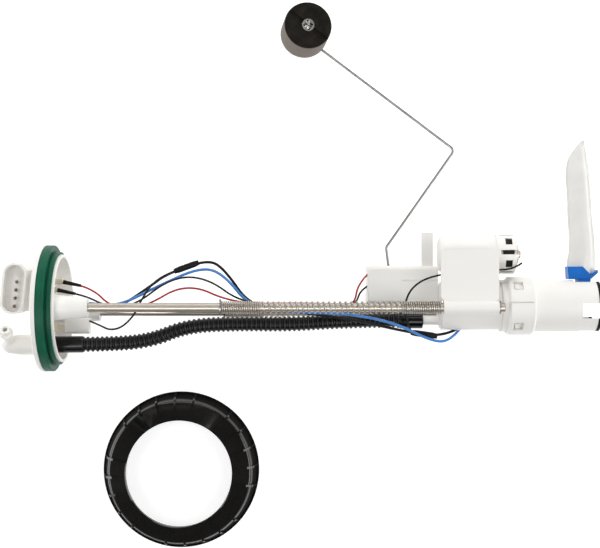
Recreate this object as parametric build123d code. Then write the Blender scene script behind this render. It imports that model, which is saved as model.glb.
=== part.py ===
from build123d import *
import math
import os

# Fuel pump module lying on its side, with its lock ring taken off beside it. Millimetres, +Z up.
# +X runs along the module from the flange to the strainer end, +Y is the side the float swings on.
# The origin is the centre of the seal's neck band, on the flange axis.

# Fits
RUN = 0.06            # radial clearance of a running or sliding fit
SEAT = 0.3            # gap between pieces that move past each other
PUSH = 0.1            # radial clearance of pieces that are pushed together

# Pump in its can, about the pump axis
PUMP_Y = 2.0
PUMP_R = 19.0
CAN_WALL = 1.0
SHAFT_R = 1.9
BUSH_R = 3.6
MAGNET_T = 5.0
AIR_GAP = 1.0         # between the magnets and the armature

# Shells around the pump: the carrier's head, and the sleeve whose collar snaps over it
HEAD_R = PUMP_R + 0.2
HEAD_WALL = 2.0
HEAD_SKIRT_R = PUMP_R + PUSH + 1.6
SLEEVE_BORE_R = PUMP_R + 0.2
SLEEVE_R = SLEEVE_BORE_R + 1.4
COLLAR_R = HEAD_SKIRT_R + PUSH + 2.4
BARB_W = 5.4          # of the snaps that hold the collar
BARB_ROOM = 0.8       # of each snap in its window, ahead of it
BARB_SIDE = 1.5       # and beside it

# Places along the module, from the carrier's face that looks at the flange
CARRIER_X = 304.0
HEAD_X = (CARRIER_X, CARRIER_X + 72.0)
HEAD_STEP_X = CARRIER_X + 48.0
COLLAR_X = (CARRIER_X + 52.5, CARRIER_X + 74.1)
BARB_X = (COLLAR_X[0] + 5.1, COLLAR_X[0] + 10.0)
OUTLET_COVER_X = (CARRIER_X + 50.0, CARRIER_X + 60.0)
INLET_COVER_X = (CARRIER_X + 105.0, CARRIER_X + 109.0)
SLEEVE_END_X = INLET_COVER_X[1] + 1.5
LEG_END_X = CARRIER_X + 123.3
LEG_GAP = 11.8        # width of the front and rear notch between the legs
LEG_GAP_Y = PUMP_Y - 3.6
SOCK_GAP = 19.0       # width of the notch that the strainer neck leaves by
PAD_T = 2.6

# Inside the can
MAGNET_X = (OUTLET_COVER_X[1] + 4.0, INLET_COVER_X[0] - 11.5)
ARMATURE_X = (OUTLET_COVER_X[1] + 6.0, INLET_COVER_X[0] - 13.0)
MID_PLATE_X = (INLET_COVER_X[0] - 9.5, INLET_COVER_X[0] - 5.5)
IMPELLER_X = (MID_PLATE_X[1] + 0.7, INLET_COVER_X[0] - 0.8)
IMPELLER_R = PUMP_R - CAN_WALL - 3.0
VANES = 24

# Inlet stub of the pump, and the strainer on it
INLET_R = 5.5
INLET_BORE_R = 4.1
INLET_Y = PUMP_Y + 10.0
INLET_END_X = CARRIER_X + 121.0
SOCK_Z = -2.0
FRAME_TOP_Y = PUMP_Y + SLEEVE_R + 10.7
FRAME_T = 12.0

# Flange, seal and skirt, all about the flange axis
RIM_R = 50.6
RIM_T = 3.6
SEAT_X = -9.5         # face of the rim that the seal lies on
SEAL_R = RIM_R - 0.2
SEAL_FACE_X = -3.1    # face of the seal that meets the tank neck
NECK_BAND_R = RIM_R - 5.6    # band of the seal that goes into the tank neck
NECK_BAND_L = 3.1
SKIRT_R = NECK_BAND_R - 2.0
SKIRT_WALL = 2.5
SKIRT_END_X = 3.5
FLOOR_Z = -RIM_R      # the table that the parts lie on

# Regulator chamber of the carrier, and the cap on it
CHAMBER_R = 14.4
CHAMBER_WALL = 2.0
CHAMBER_BORE_R = CHAMBER_R - CHAMBER_WALL
CHAMBER_X = (CARRIER_X - 1.5, CARRIER_X + 44.8)
CAP_X = (CHAMBER_X[1] - 1.4, CHAMBER_X[1] + 14.4)
CAP_R = CHAMBER_R + 1.2
CAP_FINGERS = 5
CAP_SLOT = 3.5
CAP_FIRST = 5.3       # angle of the first slot above the viewer's side
REG_Y = PUMP_Y + COLLAR_R + CAP_R + 2.3
REG_Z = 4.0
REG_BODY_R = CHAMBER_BORE_R - 1.9
REG_FLANGE_T = 3.4
REG_NECK_R = 8.2
REG_NECK_L = 13.0
REG_STUD_R = 3.0

# Guide rods: front is the one nearest the viewer. Their clips pass the collar.
ROD_R = 3.5
ROD_SPREAD = COLLAR_R + 4.8
ROD_Y = (1.4, -3.7)
ROD_Z = (ROD_SPREAD, -ROD_SPREAD)
ROD_START_X = SEAT_X + 3.0
BOSS_END_X = (27.5, 28.5)
BOSS_BASE_R = SKIRT_R - SKIRT_WALL - ROD_SPREAD - 1.2
BOSS_TIP_R = ROD_R + 3.9
CLIP_T = 1.2
STOP_R = ROD_R + 2.9       # outside of the clips that the springs push on
END_CLIP_R = ROD_R + 1.5   # outside of the clips at the lower ends
GROOVE_R = ROD_R - 0.6

# Front plate and guide tubes of the carrier
PLATE_X = (CARRIER_X - 2.0, CARRIER_X + 43.0)
PLATE_Y = (PUMP_Y + 5.4, REG_Y + 3.8)
PLATE_Z = (ROD_SPREAD - 1.0, ROD_SPREAD + 2.0)
PLATE_CORNER = 2.5
GUIDE_R = ROD_R + 2.1
ROD_END_X = PLATE_X[1] + 5.0

# Return springs
SPRING_WIRE = 1.5
SPRING_ROOM = 0.15    # between the coils and the rod
SPRING_R = ROD_R + SPRING_WIRE / 2 + SPRING_ROOM    # mean radius of the coil
SPRING_X = (131.1, CARRIER_X - 0.4)
SPRING_PITCH = 4.32   # of the open coils
SPRING_CLOSED = 31.9  # length of the closed coils at each end

# Fuel line at the flange
LINE_Y = -28.9
LINE_Z = 2.0
LINE_R = 8.2
LINE_BORE_R = 2.6
ELBOW_X = -38.2
ELBOW_R = 7.2
OUTLET_ANGLE = 58.0   # of the outlet stem above the table, towards +Y
OUTLET_R = 3.95
OUTLET_BORE_R = 1.9
OUTLET_L = 24.5
BEAD_R = 5.4
BEAD_AT = (15.6, 20.6)  # along the stem, from the elbow's centre
BEAD_ROUND = 2.2

# Hose between the two nipples
HOSE_R = 6.2
NIPPLE_R = 3.75
NIPPLE_L = 17.0
HOSE_START_X = -4.0
HOSE_END_X = CARRIER_X - 13.5
HOSE_END_Y = -9.6
HOSE_END_Z = -1.0

# Electrical socket
SHELL_X = -31.5
SHELL_Y = 16.0
SHELL_SIZE = (18.7, 40.2)
SHELL_CORNER = 8.6
SHELL_WALL = 1.8
SHELL_Z = (-2.0, 24.0)
SHELL_FLOOR = 15.0
SHELL_TURN = -6.0
PIN_PITCH = 6.4
PIN_COUNT = 4
PIN_SHIFT = -4.4      # of the row of pins from the middle of the socket
PIN_SIZE = (0.8, 2.4)
PIN_TOP_Z = 19.5
PIN_RUN_Z = 2.0
TERMINAL_X = (-4.5, 3.0)
TERMINAL_STEP = 4.6   # of every second terminal, nearer to the flange
SHRINK_L = 15.0       # of the shrink sleeves behind the terminals
SHRINK_R = (1.7, 1.15)
SHRINK_TURN = -12.0

# Ground terminal between the two bosses, and the block that carries it
HOLDER_X = (3.7, 23.0)
HOLDER_Y = (-20.6, -8.2)
HOLDER_H = 11.0
HOLDER_LIFT = 2.7     # of its lower face from the rear boss
HOLDER_LOW_Z = BOSS_BASE_R - ROD_SPREAD + HOLDER_LIFT
HOLDER_Z = (HOLDER_LOW_Z, HOLDER_LOW_Z + HOLDER_H)
TAB_Y = (-17.5, -13.5)
TAB_T = 1.0
TAB_Z = (HOLDER_LOW_Z + HOLDER_H / 2 - TAB_T / 2, HOLDER_LOW_Z + HOLDER_H / 2 + TAB_T / 2)
TAB_END_X = 9.0

# Wires. Each splice sleeve sits in the middle of one straight run.
WIRE_THIN = 1.3
WIRE_THICK = 2.0
SPLICE_R = 2.5
SPLICE_TIP_R = 2.0
SPLICE_TAPER = 4.0
SPLICE_BORE_R = 1.75
SPLICE_L = 21.0
SPLICE_UPPER = ((84.0, 27.0, -10.0), (117.5, 39.2, -10.0))
SPLICE_LOWER = ((275.5, -18.2, 9.6), (306.0, -22.6, 9.6))

# Boss under the carrier that the pump's two wires go into
WIRE_ENTRY_X = CARRIER_X + 17.0
WIRE_ENTRY_Y = PUMP_Y - HEAD_R
WIRE_ENTRY_R = 6.5

# Level sender
SENDER_X = CARRIER_X - 56.8
SENDER_Y = (3.0, 34.0)
SENDER_Z = (-34.0, -8.0)
SENDER_WALL = 2.2
SENDER_LAND_X = SENDER_X + 26.8   # where its front face steps down a little
SENDER_LAND = 0.4
KEY_Y = (10.0, 18.0)      # of the carrier's tongue in the sender's end
KEY_Z = (-19.0, -14.0)
KEY_L = 9.0
TONGUE_X = (CARRIER_X - 13.0, CARRIER_X - 3.9)
BACK_T = 3.0
CARD_T = 0.9
PIVOT = (SENDER_X + 21.4, 19.0)
POST_R = 2.5
ARM_Z = -44.0
ARM_R = 1.0
ARM_CORNER_A = (PIVOT[0] + 53.0, 131.0)
ARM_CORNER_B = (PIVOT[0] - 4.2, 49.6)
HUB_R = 7.0
HUB_Z = (-48.0, -39.6)

# Float
FLOAT_R = 19.5
FLOAT_L = 28.0
FLOAT_BACK = (PIVOT[0] - 73.1, 226.5, -42.5)
FLOAT_AXIS = (0.127, 0.103, 0.987)
NUT_R = 5.1
NUT_SLOTS = 4

# Lock ring, which screws down over the flange's rim
RING_X = 93.0
RING_H = 26.5
RING_BORE_R = RIM_R + 6.4
RING_SHOULDER_R = RING_BORE_R + 2.0
RING_SHOULDER_Z = 18.0
RING_SHOULDER_ROUND = 4.0
RING_BASE_R = RING_BORE_R + 8.2
RING_BASE_T = 2.6
RING_LIP_R = RIM_R - 7.0
RING_LIP_T = 3.4
RING_THREAD_L = 15.2
RING_Y = -(RIM_R + RING_BASE_R + 20.7)
RIB_STEP = 15.0
RIB_FIRST = 4.0
RIB_W = 1.8
RIB_H = 1.7


def cyl_x(x0, x1, r, y=0.0, z=0.0):
    return Pos((x0 + x1) / 2, y, z) * Rot(0, 90, 0) * Cylinder(r, x1 - x0)


def cone_x(x0, x1, r0, r1, y=0.0, z=0.0):
    return Pos((x0 + x1) / 2, y, z) * Rot(0, 90, 0) * Cone(r0, r1, x1 - x0)


def tube_x(x0, x1, r, bore, y=0.0, z=0.0):
    return cyl_x(x0, x1, r, y, z) - cyl_x(x0 - 1, x1 + 1, bore, y, z)


def cyl_z(z0, z1, r, x=0.0, y=0.0):
    return Pos(x, y, (z0 + z1) / 2) * Cylinder(r, z1 - z0)


def block(x0, x1, y0, y1, z0, z1):
    return Pos((x0 + x1) / 2, (y0 + y1) / 2, (z0 + z1) / 2) * Box(x1 - x0, y1 - y0, z1 - z0)


def turned_x(points, y=0.0, z=0.0):
    # Solid of revolution about an axis along X: each point is (x, radius).
    face = make_face(Polyline(*points, close=True))
    return Pos(0, y, z) * revolve(face, Axis.X)


def about_x(angle, shape, y=0.0, z=0.0):
    # Turns a shape drawn on the viewer's side (+Z) about an axis along X, towards +Y.
    return Pos(0, y, z) * Rot(-angle, 0, 0) * shape


def group(shapes):
    solids = []
    for shape in shapes:
        solids += list(shape.solids())
    return Compound(children=solids)


def route(points):
    # Straight runs joined by arcs as large as the runs leave room for.
    at = [Vector(*p) for p in points]
    radii = []
    for before, here, after in zip(at, at[1:], at[2:]):
        one, two = here - before, after - here
        half = math.radians(one.get_angle(two)) / 2
        radii.append(0.45 * min(one.length, two.length) / math.tan(half))
    return FilletPolyline(*at, radius=radii)


def cord(points, diameter, bore=0.0):
    path = route(points)
    section = Circle(diameter / 2)
    if bore:
        section -= Circle(bore / 2)
    return sweep(Plane(path @ 0, z_dir=path % 0) * section, path=path)


# Flange assembly

def outlet_stem(start, end, r):
    # A cylinder along the outlet stem's axis, measured from the elbow's centre.
    up = cyl_z(start, end, r)
    return Pos(ELBOW_X, LINE_Y, LINE_Z) * Rot(OUTLET_ANGLE - 90, 0, 0) * up


def socket_place():
    return Pos(SHELL_X, SHELL_Y, SHELL_Z[0]) * Rot(0, 0, SHELL_TURN)


def socket_mouth():
    # The hollow that the harness plug goes into.
    room = (SHELL_SIZE[0] - 2 * SHELL_WALL, SHELL_SIZE[1] - 2 * SHELL_WALL)
    hollow = extrude(RectangleRounded(*room, SHELL_CORNER - SHELL_WALL), SHELL_Z[1] - SHELL_Z[0])
    return socket_place() * Pos(0, 0, SHELL_FLOOR) * hollow


def socket_shell():
    shell = extrude(RectangleRounded(*SHELL_SIZE, SHELL_CORNER), SHELL_Z[1] - SHELL_Z[0])
    return socket_place() * shell


def pin_places():
    # Where the pins stand in the socket: along its long axis, which is turned a little.
    turn = math.radians(SHELL_TURN)
    for i in range(PIN_COUNT):
        along = (i - (PIN_COUNT - 1) / 2) * PIN_PITCH
        yield SHELL_X - along * math.sin(turn), SHELL_Y + PIN_SHIFT + along * math.cos(turn)


def terminal_x(i):
    # Both ends of a terminal: every second one stands nearer to the flange.
    back = 0.0 if i % 2 else TERMINAL_STEP
    return TERMINAL_X[0] - back, TERMINAL_X[1] - back


def connector_pin(i):
    x, y = list(pin_places())[i]
    thick, wide = PIN_SIZE
    low = PIN_RUN_Z - thick / 2
    blade = block(x - thick / 2, x + thick / 2, y - wide / 2, y + wide / 2, low, PIN_TOP_Z)
    run = block(x, terminal_x(i)[1] - 1.5, y - wide / 2, y + wide / 2, low, low + thick)
    return blade + run


def connector_pins():
    return group([connector_pin(i) for i in range(PIN_COUNT)])


def rod_boss(i):
    y, z = ROD_Y[i], ROD_Z[i]
    boss = cone_x(SEAT_X - 1, BOSS_END_X[i], BOSS_BASE_R, BOSS_TIP_R, y, z)
    inner, outer = sorted((math.copysign(11, z), z))
    web = block(SEAT_X - 1, 14, y - 1.2, y + 1.2, inner, outer)
    return boss + web


def elbow():
    stem = cyl_x(ELBOW_X + ELBOW_R, SEAT_X - 1, LINE_R, LINE_Y, LINE_Z)
    corner = Pos(ELBOW_X, LINE_Y, LINE_Z) * Sphere(ELBOW_R)
    taper = cone_x(ELBOW_X, ELBOW_X + ELBOW_R, ELBOW_R, LINE_R, LINE_Y, LINE_Z)
    end = outlet_stem(0, OUTLET_L, OUTLET_R)
    bead = outlet_stem(*BEAD_AT, BEAD_R)
    bead = fillet(bead.edges(), BEAD_ROUND)
    return stem + corner + taper + end + bead


def flange_cover():
    back = SEAT_X - RIM_T
    inner = SKIRT_R - SKIRT_WALL
    cover = turned_x([(back, 0), (back, RIM_R - 0.8), (back + 0.8, RIM_R), (SEAT_X, RIM_R),
                      (SEAT_X, SKIRT_R), (SKIRT_END_X, SKIRT_R), (SKIRT_END_X, inner),
                      (SEAT_X, inner), (SEAT_X, 0)])
    for i in range(2):
        cover += rod_boss(i)
    cover += cyl_x(SEAT_X - 1, HOSE_START_X - SEAT, NIPPLE_R + 3, LINE_Y, LINE_Z)
    cover += cyl_x(SEAT_X - 1, HOSE_START_X + NIPPLE_L, NIPPLE_R, LINE_Y, LINE_Z)
    cover += socket_shell()
    half = SHELL_SIZE[1] / 2
    cover += block(SHELL_X + 6, back + 1, SHELL_Y - half + 2, SHELL_Y + half - 6, SHELL_Z[0], 15)
    cover += elbow()
    for i in range(2):
        cover -= cyl_x(ROD_START_X, BOSS_END_X[i] + 1, ROD_R, ROD_Y[i], ROD_Z[i])
    cover -= cyl_x(ELBOW_X, HOSE_START_X + NIPPLE_L + 1, LINE_BORE_R, LINE_Y, LINE_Z)
    cover -= outlet_stem(0, OUTLET_L + 1, OUTLET_BORE_R)
    cover -= socket_mouth()
    for i in range(PIN_COUNT):
        cover -= connector_pin(i)
    return cover


def flange_seal():
    edge = 0.6
    return turned_x([(SEAT_X, SKIRT_R), (SEAT_X, SEAL_R - edge), (SEAT_X + edge, SEAL_R),
                     (SEAL_FACE_X - edge, SEAL_R), (SEAL_FACE_X, SEAL_R - edge),
                     (SEAL_FACE_X, NECK_BAND_R + SEAT), (SEAL_FACE_X - edge, NECK_BAND_R + SEAT),
                     (SEAL_FACE_X - edge, NECK_BAND_R - 1.2), (-NECK_BAND_L / 2, NECK_BAND_R - 1.2),
                     (-NECK_BAND_L / 2, NECK_BAND_R), (NECK_BAND_L / 2, NECK_BAND_R),
                     (NECK_BAND_L / 2, SKIRT_R)])


def clip_starts():
    # Where each rod is grooved: behind the spring stop, and at its lower end.
    return SPRING_X[0] - CLIP_T - 0.02, PLATE_X[1] + SEAT


def guide_rod(i):
    rod = cyl_x(ROD_START_X, ROD_END_X, ROD_R, ROD_Y[i], ROD_Z[i])
    rod = chamfer(rod.edges(), 0.5)
    for start in clip_starts():
        rod -= tube_x(start, start + CLIP_T, ROD_R + 1, GROOVE_R, ROD_Y[i], ROD_Z[i])
    return rod


def retaining_clip(start, r, i):
    # An open ring that snaps into the rod's groove, with its mouth towards the other rod.
    ring = tube_x(start, start + CLIP_T, r, GROOVE_R)
    ring -= block(start - 1, start + CLIP_T + 1, -GROOVE_R, GROOVE_R, -r - 1, 0)
    for side in (-1, 1):
        ring -= about_x(60 * side, cyl_z(r - 1.2, r + 1, 1.0, start + CLIP_T / 2))
    return Pos(0, ROD_Y[i], ROD_Z[i]) * Rot(180 * i, 0, 0) * ring


def spring_stops():
    return group([retaining_clip(clip_starts()[0], STOP_R, i) for i in range(2)])


def rod_end_clips():
    return group([retaining_clip(clip_starts()[1], END_CLIP_R, i) for i in range(2)])


def return_spring(i):
    # Open coils between two stacks of closed coils, which are drawn as plain collars.
    x0, x1 = SPRING_X
    inner, outer = SPRING_R - SPRING_WIRE / 2, SPRING_R + SPRING_WIRE / 2
    open_l = x1 - x0 - 2 * SPRING_CLOSED
    coil = Helix(SPRING_PITCH, open_l - SPRING_WIRE - 0.04, SPRING_R)
    wire = sweep(Plane(coil @ 0, z_dir=coil % 0) * Circle(SPRING_WIRE / 2), path=coil, is_frenet=True)
    wire = Pos(x0 + SPRING_CLOSED + SPRING_WIRE / 2 + 0.02, 0, 0) * Rot(0, 90, 0) * wire
    low = tube_x(x0, x0 + SPRING_CLOSED, outer, inner)
    high = tube_x(x1 - SPRING_CLOSED, x1, outer, inner)
    return Pos(0, ROD_Y[i], ROD_Z[i]) * group([low, wire, high])


def wire_terminals():
    shapes = []
    for i, (_, y) in enumerate(pin_places()):
        x0, x1 = terminal_x(i)
        box = block(x0, x1, y - 2.2, y + 2.2, PIN_RUN_Z - 1.4, PIN_RUN_Z + 1.4)
        blade = block(x0 - 1, x1 - 1.5, y - 1.2, y + 1.2, PIN_RUN_Z - 0.4, PIN_RUN_Z + 0.4)
        shapes.append(box - blade)
    return group(shapes)


def shrink_end(i):
    # Middle of a shrink sleeve's far end, where its wire comes out.
    x, y = terminal_x(i)[1], list(pin_places())[i][1]
    turn = math.radians(SHRINK_TURN)
    return Vector(x + SHRINK_L * math.cos(turn), y + SHRINK_L * math.sin(turn), PIN_RUN_Z)


def terminal_sleeves():
    turned = Rot(0, 0, SHRINK_TURN) * cone_x(0.5, SHRINK_L, *SHRINK_R)
    places = enumerate(pin_places())
    return group([Pos(terminal_x(i)[1], y, PIN_RUN_Z) * turned for i, (_, y) in places])


def ground_tab():
    # Flat tab on the skirt's floor that the ground wire's terminal is pushed on.
    base = block(SEAT_X, -3.0, TAB_Y[0] - 2, TAB_Y[1] + 2, *TAB_Z)
    return base + block(-3.0, TAB_END_X, *TAB_Y, *TAB_Z)


def ground_holder():
    # Insulating block that carries the ground wire's terminal.
    holder = block(*HOLDER_X, *HOLDER_Y, *HOLDER_Z)
    holder = fillet(holder.edges().filter_by(Axis.X), 2.0)
    return holder - block(HOLDER_X[0] - 1, TAB_END_X, *TAB_Y, *TAB_Z)


# Hose and wires

def corrugated_hose():
    points = [(HOSE_START_X, LINE_Y, LINE_Z), (33, LINE_Y, LINE_Z), (72, -26.4, 1.6),
              (102, -14.2, 1.0), (140, -12.3, 0.2), (184, -12.9, -0.6), (224, -10.4, -1.2),
              (258, HOSE_END_Y, HOSE_END_Z), (HOSE_END_X, HOSE_END_Y, HOSE_END_Z)]
    return cord(points, 2 * HOSE_R, 2 * NIPPLE_R)


def wire_start(i):
    # First two points of a wire: it leaves its sleeve straight.
    end = shrink_end(i)
    turn = math.radians(SHRINK_TURN)
    along = Vector(math.cos(turn), math.sin(turn), 0)
    return [end + along * 0.1, end + along * 9.0]


def sender_wire_red():
    return cord([*wire_start(3), (42, 4.2, 8), (72, 3.2, 10), (103, 20.5, 11), (140, 3.8, 8),
                 (191, 4.6, 0), (231, 3.0, -8), (237, 20.0, -12), (SENDER_X - 0.5, 28.0, -14)],
                WIRE_THIN)


def sender_wire_black():
    return cord([*wire_start(2), (37, 3.6, 4), (59, 2.6, 4), (90, 24.8, 4), (118, 24.8, 4),
                 (147, 3.5, 5), (191, 2.6, -5), (234, 4.5, -17), (239, 13.5, -19),
                 (SENDER_X - 0.5, 17.6, -20)], WIRE_THIN)


def pump_wire_blue():
    return cord([*wire_start(1), (48, 2.0, -3), (80, 18.5, -3), (114, 33.4, -4), (132, 26.5, -4),
                 (153, 0.0, -4), (192, -5.6, 8), (228, -3.6, 15), (267, -10.8, 16.5),
                 (297, -26.0, 15.0), (312, -25.6, 9.0), (320, WIRE_ENTRY_Y - 0.9, 3.0)],
                WIRE_THICK)


def pump_wire_black():
    return cord([*wire_start(0), (45, -0.6, -8), (73, 18.5, -10), SPLICE_UPPER[0], SPLICE_UPPER[1],
                 (131, 32.0, -11), (153, 0.0, -11), (196, -3.6, 1), (234, -8.4, 9.6),
                 SPLICE_LOWER[0], SPLICE_LOWER[1], (320, WIRE_ENTRY_Y - 0.9, -3.0)], WIRE_THICK)


def splice_sleeve(run):
    # Shrunk tube, thickest in the middle and tapered at both ends.
    a, b = Vector(*run[0]), Vector(*run[1])
    place = Plane((a + b) * 0.5, z_dir=b - a)
    half, straight = SPLICE_L / 2, SPLICE_L / 2 - SPLICE_TAPER
    wall = make_face(Polyline(
        (SPLICE_BORE_R, -half), (SPLICE_TIP_R, -half), (SPLICE_R, -straight), (SPLICE_R, straight),
        (SPLICE_TIP_R, half), (SPLICE_BORE_R, half), close=True))
    return place * revolve(Plane.XZ * wall, Axis.Z)


def splice_face(run, off):
    # A point just before the sleeve's first end, beside the wire that runs through it.
    a, b = Vector(*run[0]), Vector(*run[1])
    along = (b - a).normalized()
    return (a + b) * 0.5 - along * (SPLICE_L / 2 + 0.5) + Vector(*off)


def ground_wire_upper():
    end = splice_face(SPLICE_UPPER, (0, 0, 2.3))
    return cord([(HOLDER_X[1] + 0.6, -10.5, -6), (32, -13.6, -2), (41, -17.4, 5), (52, -14.8, 12),
                 (62.5, -4.5, 16), (68.5, 9.5, 14), (78.5, 24.5, 2), end], WIRE_THIN)


def ground_wire_lower():
    end = splice_face(SPLICE_LOWER, (0, 0, 2.3))
    return cord([end, (275.5, -8.0, 14), (275.6, 10.0, 16), (287, 22.8, 18), (309, 28.4, 20.5),
                 (338, 30.8, 22), (359, 30.6, 22), (367.6, 35.4, 14.6)], WIRE_THIN)


# Pump carrier and pump

def guide_tube(i):
    return cyl_x(HEAD_X[0], PLATE_X[1], GUIDE_R, ROD_Y[i], ROD_Z[i])


def head_shell():
    x0, x1 = HEAD_X
    bore, pocket = HEAD_R - HEAD_WALL, PUMP_R + PUSH
    return turned_x([(x0, 0), (x0, HEAD_R - 1), (x0 + 1, HEAD_R), (HEAD_STEP_X, HEAD_R),
                     (HEAD_STEP_X, HEAD_SKIRT_R), (x1, HEAD_SKIRT_R), (x1, pocket),
                     (HEAD_STEP_X - 1.5, pocket), (HEAD_STEP_X - 1.5, bore), (x0 + 3, bore),
                     (x0 + 3, 0)], PUMP_Y)


def snap_barbs():
    # Wedges that lift the collar as it is pushed on, and then stand in its windows.
    x0, x1 = BARB_X
    side = Plane.XZ * make_face(Polyline(
        (x0, HEAD_SKIRT_R - 1), (x1, HEAD_SKIRT_R - 1), (x1, HEAD_SKIRT_R + 0.6),
        (x0 + 1.2, COLLAR_R - 0.8), (x0, COLLAR_R - 0.8), close=True))
    barb = extrude(side, BARB_W / 2, both=True)
    return [about_x(45 + 90 * i, barb, PUMP_Y) for i in range(4)]


def front_plate():
    plate = block(*PLATE_X, *PLATE_Y, *PLATE_Z)
    return fillet(plate.edges().filter_by(Axis.Z), PLATE_CORNER)


def carrier():
    body = head_shell()
    body += cyl_x(HEAD_X[0] + 1, OUTLET_COVER_X[0] - 8, 7.4, PUMP_Y)
    for i in range(2):
        body += guide_tube(i)
        side = 1 if ROD_Z[i] > 0 else -1
        inner, outer = sorted((side * (HEAD_R - 4), side * (abs(ROD_Z[i]) - 2)))
        body += block(HEAD_X[0] + 2, PLATE_X[1] - 2, ROD_Y[i] - 4, ROD_Y[i] + 4, inner, outer)
    body += front_plate()
    body += block(HEAD_X[0], PLATE_X[1] - PLATE_CORNER, ROD_Y[0], PLATE_Y[0] + 1, *PLATE_Z)
    x0, x1 = CHAMBER_X
    body += turned_x([(x0, 0), (x0, CHAMBER_R - 3), (x0 + 1, CHAMBER_R - 1), (x0 + 3, CHAMBER_R),
                      (x1, CHAMBER_R), (x1, 0)], REG_Y, REG_Z)
    body += block(x0 + 6, x1 - 2, PUMP_Y + HEAD_R - 4, REG_Y - CHAMBER_R + 5, REG_Z - 8, REG_Z + 8)
    for x in (x0 + 4, x0 + 21, x1 - 6):
        body += block(x, x + 2.2, REG_Y - 5, PLATE_Y[1] - 1, REG_Z + CHAMBER_R - 4.4, PLATE_Z[0] + 1)
    body += cyl_x(HOSE_END_X - NIPPLE_L + 1, HEAD_X[0] + 2, NIPPLE_R, HOSE_END_Y, HOSE_END_Z)
    body += block(HEAD_X[0] - KEY_L, HEAD_X[0] + 3, *KEY_Y, *KEY_Z)
    boss = cyl_z(WIRE_ENTRY_Y, PUMP_Y - 10, WIRE_ENTRY_R)
    body += Pos(WIRE_ENTRY_X, 0, 0) * Rot(-90, 0, 0) * boss
    for barb in snap_barbs():
        body += barb
    for i in range(2):
        body -= cyl_x(PLATE_X[0] - 1, PLATE_X[1] + 1, ROD_R + RUN, ROD_Y[i], ROD_Z[i])
    body -= cyl_x(HEAD_X[0] + 8, HEAD_X[1], 4.6, PUMP_Y)
    body -= cyl_x(HOSE_END_X - NIPPLE_L, HEAD_X[0] + 16, 2.2, HOSE_END_Y, HOSE_END_Z)
    body -= cyl_x(x0 + 14, x1 + 1, CHAMBER_BORE_R, REG_Y, REG_Z)
    return body


def leg_notches():
    # The gaps between the legs: front and rear, below, and above for the strainer's neck.
    x0, x1 = SLEEVE_END_X, LEG_END_X + 1
    middle = LEG_GAP_Y
    yield block(x0, x1, middle - LEG_GAP / 2, middle + LEG_GAP / 2, -SLEEVE_R - 1, SLEEVE_R + 1)
    yield block(x0, x1, PUMP_Y - SLEEVE_R - 1, PUMP_Y - 10, -LEG_GAP / 2, LEG_GAP / 2)
    half = SOCK_GAP / 2
    yield block(x0 - 4.6, x1, PUMP_Y + 10, PUMP_Y + SLEEVE_R + 1, SOCK_Z - half, SOCK_Z + half)


def pump_sleeve():
    bore = HEAD_SKIRT_R + PUSH
    shell = turned_x([(COLLAR_X[0], bore), (COLLAR_X[0], COLLAR_R - 1.6),
                      (COLLAR_X[0] + 1.6, COLLAR_R), (COLLAR_X[1] - 1.6, COLLAR_R),
                      (COLLAR_X[1], COLLAR_R - 1.6), (COLLAR_X[1], SLEEVE_R), (LEG_END_X, SLEEVE_R),
                      (LEG_END_X, SLEEVE_BORE_R), (HEAD_X[1], SLEEVE_BORE_R), (HEAD_X[1], bore)],
                     PUMP_Y)
    for notch in leg_notches():
        shell -= notch
    half = BARB_W / 2 + BARB_SIDE
    x0, x1 = BARB_X
    window = block(x0 - BARB_ROOM, x1 + 1.7, -half, half, HEAD_R - 4, COLLAR_R + 1)
    for i in range(4):
        shell -= about_x(45 + 90 * i, window, PUMP_Y)
    slit = block(COLLAR_X[0] - 1, COLLAR_X[1] - 3, -0.4, 0.4, HEAD_SKIRT_R + 1.2, COLLAR_R + 1)
    for angle in (8, 188):
        shell -= about_x(angle, slit, PUMP_Y)
    return shell


def foot_pads():
    ring = tube_x(LEG_END_X, LEG_END_X + PAD_T, SLEEVE_R + 0.2, SLEEVE_BORE_R - 0.4, PUMP_Y)
    for notch in leg_notches():
        ring -= Pos(PAD_T, 0, 0) * notch
    return group([ring])


def pump_isolator():
    return tube_x(HEAD_STEP_X - 1.5, OUTLET_COVER_X[0], PUMP_R, 12.0, PUMP_Y)


def pump_outlet_cover():
    x0, x1 = OUTLET_COVER_X
    cover = cyl_x(x0, x1, PUMP_R, PUMP_Y) - cyl_x(x0 + 5, x1 + 1, PUMP_R - 3, PUMP_Y)
    cover += cyl_x(x0, x1 - 1, 6.0, PUMP_Y)
    cover += cyl_x(x0 - 12, x0 + 1, 4.0, PUMP_Y)
    cover -= cyl_x(x0 - 13, x0 - 2, 2.4, PUMP_Y)
    cover -= cyl_x(x0 + 2, x1 + 1, BUSH_R, PUMP_Y)
    return cover


def pump_outlet_grommet():
    x0 = OUTLET_COVER_X[0]
    return tube_x(x0 - 12, x0 - 8.5, 4.6, 4.0, PUMP_Y)


def shaft_bushes():
    upper = tube_x(OUTLET_COVER_X[0] + 3, OUTLET_COVER_X[1] - 1, BUSH_R, SHAFT_R + RUN, PUMP_Y)
    lower = tube_x(*MID_PLATE_X, BUSH_R, SHAFT_R + RUN, PUMP_Y)
    return group([upper, lower])


def pump_can():
    return tube_x(OUTLET_COVER_X[1], INLET_COVER_X[0], PUMP_R, PUMP_R - CAN_WALL, PUMP_Y)


def magnet_bore():
    return PUMP_R - CAN_WALL - MAGNET_T


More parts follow.
